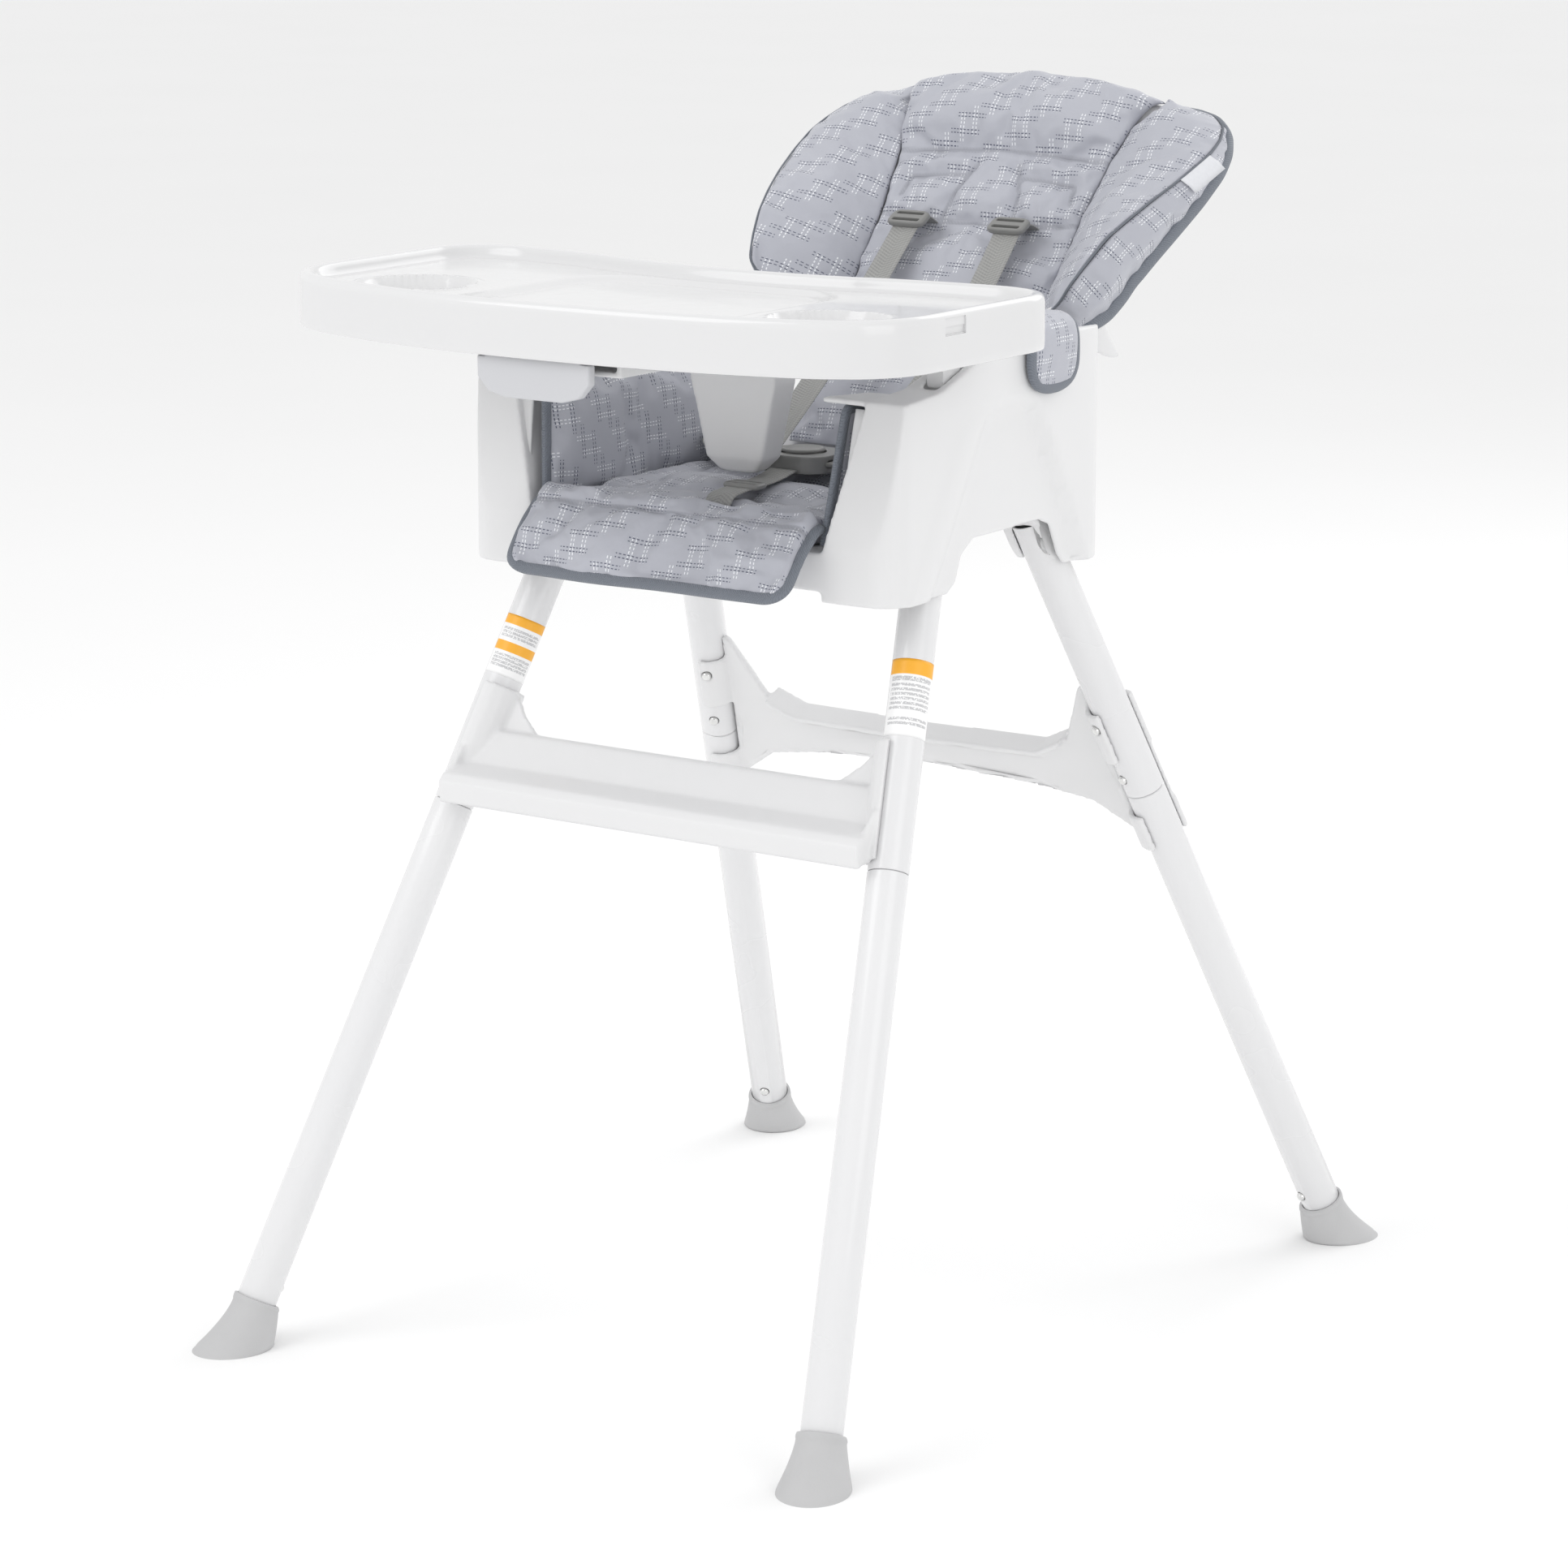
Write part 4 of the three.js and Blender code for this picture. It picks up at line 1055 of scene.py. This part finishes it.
def side_tag():
    """A blank woven tag sewn into the right wing's rim seam."""
    finish = Finish("pale_woven_tag", (0.7, 0.71, 0.74), 0.6)
    finish.colour(finish.mix(finish.noise(300, 2), (0.68, 0.69, 0.72), (0.76, 0.77, 0.8)))
    finish.feed("Roughness", 0.5 + 0.2 * finish.noise(500))
    finish.bump(finish.noise(1500, 2), 0.3, 0.0003)
    rings = []
    rim_heights, rim_reaches, rim_depths = zip(*WING_RIM)
    for s in 262 + 36 * np.arange(17) / 16:
        x, depth = np.interp(s, rim_heights, rim_reaches), np.interp(s, rim_heights, rim_depths)
        rings.append([Vector(back_point(x + out + 1.2, s - reach * 0.15, depth + reach))
                      for reach, out in TAG_SECTION])
    return loft("side_tag", rings, finish.material)


pad_pieces = [middle_panel(), side_tag()]
for side in (-1, 1):
    pad_pieces += [wing_panel(side), *wing_gusset(side)]
finish_pad(merge("back_pad_cover", pad_pieces), "back_pad", "seat_back")

# Seat cushion, calf flap, side pads and armrest ears: the same printed satin over wadding,
# stitched in channels. The flap, side pads and ears are bound with grey tape.
CUSHION_SEAMS = [[(-120, -118), (-60, -112), (0, -110), (60, -112), (120, -118)],
                 [(-88, -112), (-84, -20), (-92, 94)], [(88, -112), (84, -20), (92, 94)],
                 [(-86, -20), (-40, -34), (0, -38), (40, -34), (86, -20)]]


def seat_cushion():
    rows, columns = 56, 54
    front, back, places = grid(rows, columns)
    for r in range(rows):
        for c in range(columns):
            u, v = 2 * c / (columns - 1) - 1, 2 * r / (rows - 1) - 1
            x = u * 124 * (1 - 0.07 * abs(v) ** 10)
            y = -30 + v * 126 * (1 - 0.06 * abs(u) ** 10)
            places[r, c] = (x, y)
    gap = seam_gap(places, CUSHION_SEAMS)
    for r in range(rows):
        for c in range(columns):
            x, y = places[r, c]
            rim = min(124 - abs(x), 126 - abs(y + 30))
            crown = 13 * (1 - np.exp(-max(rim, 0) / 10)) - 6 * np.exp(-gap[r, c] / 8)
            front[r, c] = np.array((x, y, 664 + crown)) * MM
            back[r, c] = np.array((x, y, 651)) * MM
    for line in (front[0], front[-1], front[:, 0], front[:, -1]):
        line[:, 2] = 660 * MM
    # The distance to the channel seams rides along as the third place number, for the stitch marks
    # and the painted seam shade.
    marked = np.concatenate([places, gap[..., None]], axis=2)
    finish_pad(quilt("seat_cushion_pad", front, back, marked, gap < 2.6, printed_satin,
                     4.0, 5, -0.04), "seat_cushion")


FLAP_LENGTH, FLAP_HALF_WIDTH, FLAP_CORNER, FLAP_SEAM = 84, 131, 15, 25


def calf_flap():
    rows, columns = 26, 60
    front, back, places = grid(rows, columns)
    path = relax(resample([(-156, 679), (-166, 678), (-177, 671), (-194, 647), (-211, 620)],
                          1.0), 30)
    under = relax(resample([(-156, 655), (-163, 656), (-172, 654), (-190, 638), (-208, 618)],
                           1.0), 30)
    for r in range(rows):
        share = r / (rows - 1)
        a, b = (line[int(round(share * (len(line) - 1)))] for line in (path, under))
        down = share * FLAP_LENGTH
        corner = max(0.0, down - (FLAP_LENGTH - FLAP_CORNER))
        half = FLAP_HALF_WIDTH - (FLAP_CORNER - sqrt(max(0.0, FLAP_CORNER ** 2 - corner ** 2)))
        for c in range(columns):
            u = 2 * c / (columns - 1) - 1
            x = u * half
            drape = 3.0 * sin(x / 31.0) * share + 2.0 * sin(x / 17.0 + 1) * share
            near = min(FLAP_HALF_WIDTH - abs(x), down, FLAP_LENGTH - down)
            puff = 5 * (1 - np.exp(-max(0, near) / 7)) - 6 * np.exp(-abs(down - FLAP_SEAM) / 5)
            places[r, c] = (x, 700 - down)
            rim = r in (0, rows - 1) or c in (0, columns - 1)
            top = np.array((x, a[0] + drape * 0.5 - puff * 0.8, a[1] + puff * 0.55))
            low = np.array((x, b[0] + drape * 0.5, b[1]))
            if rim:
                top = top * 0.5 + low * 0.5
            front[r, c], back[r, c] = top * MM, low * MM
    hold = np.zeros((rows, columns), bool)
    hold[int(round(FLAP_SEAM / FLAP_LENGTH * (rows - 1)))] = True
    # Distance to the flap's cross seam, as the third place number, for the stitch marks and the
    # painted seam shade.
    gap = abs(700 - places[..., 1:] - FLAP_SEAM)
    marked = np.concatenate([places, gap], axis=2)
    pad = quilt("calf_flap_pad", front, back, marked, hold, printed_satin, 4.0, 7, -0.07)
    edge = np.concatenate([front[:, 0], front[-1, 1:], front[-2::-1, -1]])
    ups = np.array([(0, -0.84, 0.54)] * len(edge))
    binding = sweep("calf_flap_binding", edge[1:-1], ups[1:-1], 4.6, 3.4, grey_binding, 2.6)
    finish_pad(merge("calf_flap", [pad, binding]), "leg_flap")


def side_pad(name, side):
    rows, columns = 24, 46
    front, back, places = grid(rows, columns)
    for r in range(rows):
        v = r / (rows - 1)
        z = 654 + 103 * v
        for c in range(columns):
            u = c / (columns - 1)
            front_y = -156 + 14 * v
            y = front_y + (88 - front_y) * u
            near = min(u * 216, (1 - u) * 216, v * 103, (1 - v) * 103)
            seam = abs(y + 30)
            puff = 7 * (1 - np.exp(-near / 9)) - 3.5 * np.exp(-seam / 7)
            inner, outer = 130 + 9 * v, 135 + 11 * v
            rim = r in (0, rows - 1) or c in (0, columns - 1)
            x = (inner + outer) / 2 if rim else inner - puff
            places[r, c] = (z, y * side)
            front[r, c] = np.array((side * x, y, z)) * MM
            back[r, c] = np.array((side * outer, y, z)) * MM
    hold = np.zeros((rows, columns), bool)
    hold[:, 21] = True
    pad = quilt(f"side_pad_{name}_pad", front, back, places, hold, printed_satin, 3.0, 4, -0.04)
    edge = np.concatenate([front[:, 0], front[-1, 1:]])
    ups = np.array([(side, 0, 0)] * len(edge), float)
    binding = sweep(f"side_pad_{name}_binding", edge, ups, 4.4, 3.0, grey_binding, 2.5)
    finish_pad(merge(f"side_pad_{name}_bound", [pad, binding]), f"side_pad_{name}")


def armrest_ear(name, side):
    rows, columns = 34, 18
    front, back, places = grid(rows, columns)
    over = relax(resample([(167, 792), (168, 805), (176, 811), (200, 812), (210, 808), (213, 796),
                           (212, 776), (210.5, 757)], 1.0), 12)
    under = relax(resample([(169, 792), (170, 800), (177, 803.5), (199, 804), (205.5, 801),
                            (206, 790), (206, 776), (206.5, 758)], 1.0), 12)
    total = len(over) - 1
    for r in range(rows):
        share = r / (rows - 1)
        a, b = (line[int(round(share * (len(line) - 1)))] for line in (over, under))
        hang = max(0.0, share * total - (total - 22))
        half = 9 + sqrt(max(0.0, 22 ** 2 - hang ** 2)) if hang else 31
        middle = 42 + 3 * max(0, share - 0.5)
        for c in range(columns):
            u = 2 * c / (columns - 1) - 1
            y = middle + u * half
            near = min(1 - abs(u), 2 * share, 2 * (1 - share))
            puff = 2.5 * (1 - np.exp(-near * 5))
            rim = r in (0, rows - 1) or c in (0, columns - 1)
            places[r, c] = (share * total * side, y)
            top = np.array((side * (a[0] + puff * (0.4 if share < 0.5 else 1)), y,
                            a[1] + (puff if share < 0.5 else 0)))
            low = np.array((side * b[0], y, b[1]))
            if rim:
                top = (top + low) / 2
            front[r, c], back[r, c] = top * MM, low * MM
    pad = quilt(f"armrest_ear_{name}_pad", front, back, places, np.zeros((rows, columns), bool),
                printed_satin, 2.0, 2.5, -0.03)
    edge = np.concatenate([front[:, 0], front[-1, 1:], front[-2::-1, -1]])
    thick = front - back
    ups = np.concatenate([thick[:, 1], thick[-2, 1:], thick[-2::-1, -2]])
    ups /= np.linalg.norm(ups, axis=1, keepdims=True)
    binding = sweep(f"armrest_ear_{name}_binding", edge, ups, 4.6, 3.4, grey_binding, 2.6)
    finish_pad(merge(f"armrest_ear_{name}", [pad, binding]), f"armrest_cover_{name}")


seat_cushion()
calf_flap()
for side_name, side in (("left", -1), ("right", 1)):
    side_pad(side_name, side)
    armrest_ear(side_name, side)

# Harness: 25 mm grey webbing and dark grey acetal fittings. The shoulder straps come out of
# the back's slots through slide adjusters and run down to the round-button buckle.
BUCKLE = np.array((22.0, -26.0))
fitting = moulding("dark_grey_fitting", (0.275, 0.275, 0.268), (0.21, 0.21, 0.205), 0.36,
                   grain=1300)


def strap(name, node, line, ups):
    webbing = sweep(name, np.asarray(line, float) * MM, ups, 12.3, 0.8, grey_webbing, 5, 20,
                    3.0, 6)
    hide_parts(node)
    return webbing


def plate(name, middle, length_way, up, half_long, half_wide, half_thick, windows):
    """A rounded moulded plate with windows, each (along, across, half along, half across)."""
    length_way, up = Vector(length_way).normalized(), Vector(up).normalized()
    wide = up.cross(length_way).normalized()
    up = length_way.cross(wide).normalized()
    turn = Matrix((length_way, wide, up)).transposed().to_4x4()
    turn.translation = Vector(middle)
    rings = []
    for rise, grow in ((-1, 0.9), (-0.55, 0.985), (0, 1), (0.55, 0.985), (1, 0.9)):
        ring = []
        for k in range(48):
            a = 2 * pi * k / 48
            c, s = cos(a), sin(a)
            ring.append(turn @ Vector((
                np.sign(c) * abs(c) ** 0.45 * half_long * grow,
                np.sign(s) * abs(s) ** 0.45 * half_wide * grow, rise * half_thick)) * MM)
        rings.append(ring)
    thing = loft(name, rings, fitting)
    for along, across, half_a, half_b in windows:
        cut(thing, box("window", [turn @ Vector((along + i * half_a, across + j * half_b,
                                                 k * half_thick * 2)) * MM
                                  for i in (-1, 1) for j in (-1, 1) for k in (-1, 1)]))
    return round_off(thing, 0.55, 4, 0.3)


def loop(name, corners, radius, up):
    """A moulded open loop through its corners."""
    closed = np.array([*corners, *corners[:2]], float)
    fine = relax(resample(closed, 1.2), 14)
    ups = np.array([up] * len(fine), float)
    return sweep(name, fine * MM, ups, radius, radius * 0.8, fitting, 2.4, 14, 1.5, 2)


for side_name, side in (("left", -1), ("right", 1)):
    x = side * 50.0
    slot_point, mouth = back_point(x, 221, 14) / MM, back_point(x, 219, -2) / MM
    knee = back_point(x * 0.98, 212, -12) / MM
    end = np.array((BUCKLE[0] + side * 43, -14.0, 698.0))
    run = [slot_point, mouth, knee]
    for t in np.linspace(0.08, 1, 14):
        sway = np.array((side * 6 * sin(pi * t), 0, -16 * sin(pi * t)))
        run.append(knee + (end - knee) * t + sway)
    tilt = np.array((0, -0.48, 0.88))
    ups = [(0, -0.3, 0.9)] * 2 + [tuple(tilt)] * (len(run) - 2)
    webbing = strap(f"shoulder_webbing_{side_name}", f"shoulder_strap_{side_name}", run, ups)
    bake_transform(webbing)

    way = (end - knee) / np.linalg.norm(end - knee)
    centre = knee + way * 5 + np.array((0, -0.4, 0.8))
    adjuster = plate(f"adjuster_{side_name}", centre, (1, 0, 0), tilt, 18, 9.5, 3.0,
                     [(0, 4.5, 13, 1.7), (0, -4.5, 13, 1.7)])
    fit(adjuster, f"strap_adjuster_{side_name}", f"strap_adjuster_{side_name}")

    tongue_x = BUCKLE[0] + side * 31
    corners = [(tongue_x + side * out, y, z) for out, y, z in (
        (0, -38, 693), (10, -40, 694), (18, -30, 696), (18, -8, 697), (10, -4, 696), (0, -14, 693))]
    tongue = loop(f"tongue_loop_{side_name}", corners, 2.3, (0, 0, 1))
    fit(tongue, "frame", f"buckle_tongue_{side_name}")

    waist = [(tongue_x + side * 15, -26, 697), (tongue_x + side * 26, -18, 694),
             (side * 96, 20, 688), (side * 112, 48, 690), (side * 122, 66, 693)]
    ups = [(0, 0.1, 1), (0, 0, 1), (side * -0.3, 0, 1), (side * -0.5, 0, 0.9),
           (side * -0.7, 0, 0.7)]
    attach(strap(f"waist_webbing_{side_name}", f"waist_strap_{side_name}", waist, ups), "frame")

crotch = [(28, -150, 674), (28, -146, 681.5), (27, -120, 683.2), (26, -92, 684), (25, -74, 685.6)]
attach(strap("crotch_webbing", "crotch_strap", [*crotch, (24, -56, 689)],
              [(0, -0.4, 1)] + [(0, -0.05, 1)] * 5), "frame")

# Buckle: a moulded body with a raised ring round its press button, and a slider on the crotch
# webbing ahead of it. The button drops into a bore of the body and springs back.
soften("buckle_housing", 0.8, 6, 0.35, fitting, "frame")
disc = Matrix.Translation(Vector((BUCKLE[0], BUCKLE[1], 699.4)) * MM)
button = lathe("press_button", [(0.0001, 0.0008), (0.0168, 0.0008), (0.0171, 0.0013),
                                (0.0171, 0.0026), (0.0164, 0.0034), (0.0154, 0.0036),
                                (0.0138, 0.0029), (0.008, 0.0024), (0.0001, 0.0022)],
               fitting, disc, 64)
fit(sharpen(button, 50), "buckle_button", "buckle_button")
slider = plate("crotch_slider", (27, -112, 684.6), (1, 0, 0), (0, -0.03, 1), 17, 9, 2.3,
               [(0, 4.2, 13, 1.6), (0, -4.2, 13, 1.6)])
fit(slider, "frame")

# Front returns of the seat base: white panels inside the front lobes, beside the side pads.
# They are part of the same moulding and close the lobes towards the seat.
RETURN_SECTION = ((0, 3), (0.02, 0.8), (0.08, 0), (0.3, -0.8), (0.6, -1), (1, -1),
                  (1, 2), (0.6, 2), (0.3, 2.2), (0.08, 3))
for side in (-1, 1):
    rings = []
    for t in np.arange(15) / 14:
        y, z = -161 + 11 * t + 5 * t ** 3, 646 + 112 * t
        inner, outer = 147 + 5 * t, 184 - 5 * t
        rings.append([Vector((side * (inner + (outer - inner) * f), y + back_off, z)) * MM
                      for f, back_off in RETURN_SECTION])
    fit(loft(f"front_return_{side}", rings, white_moulding), "frame")
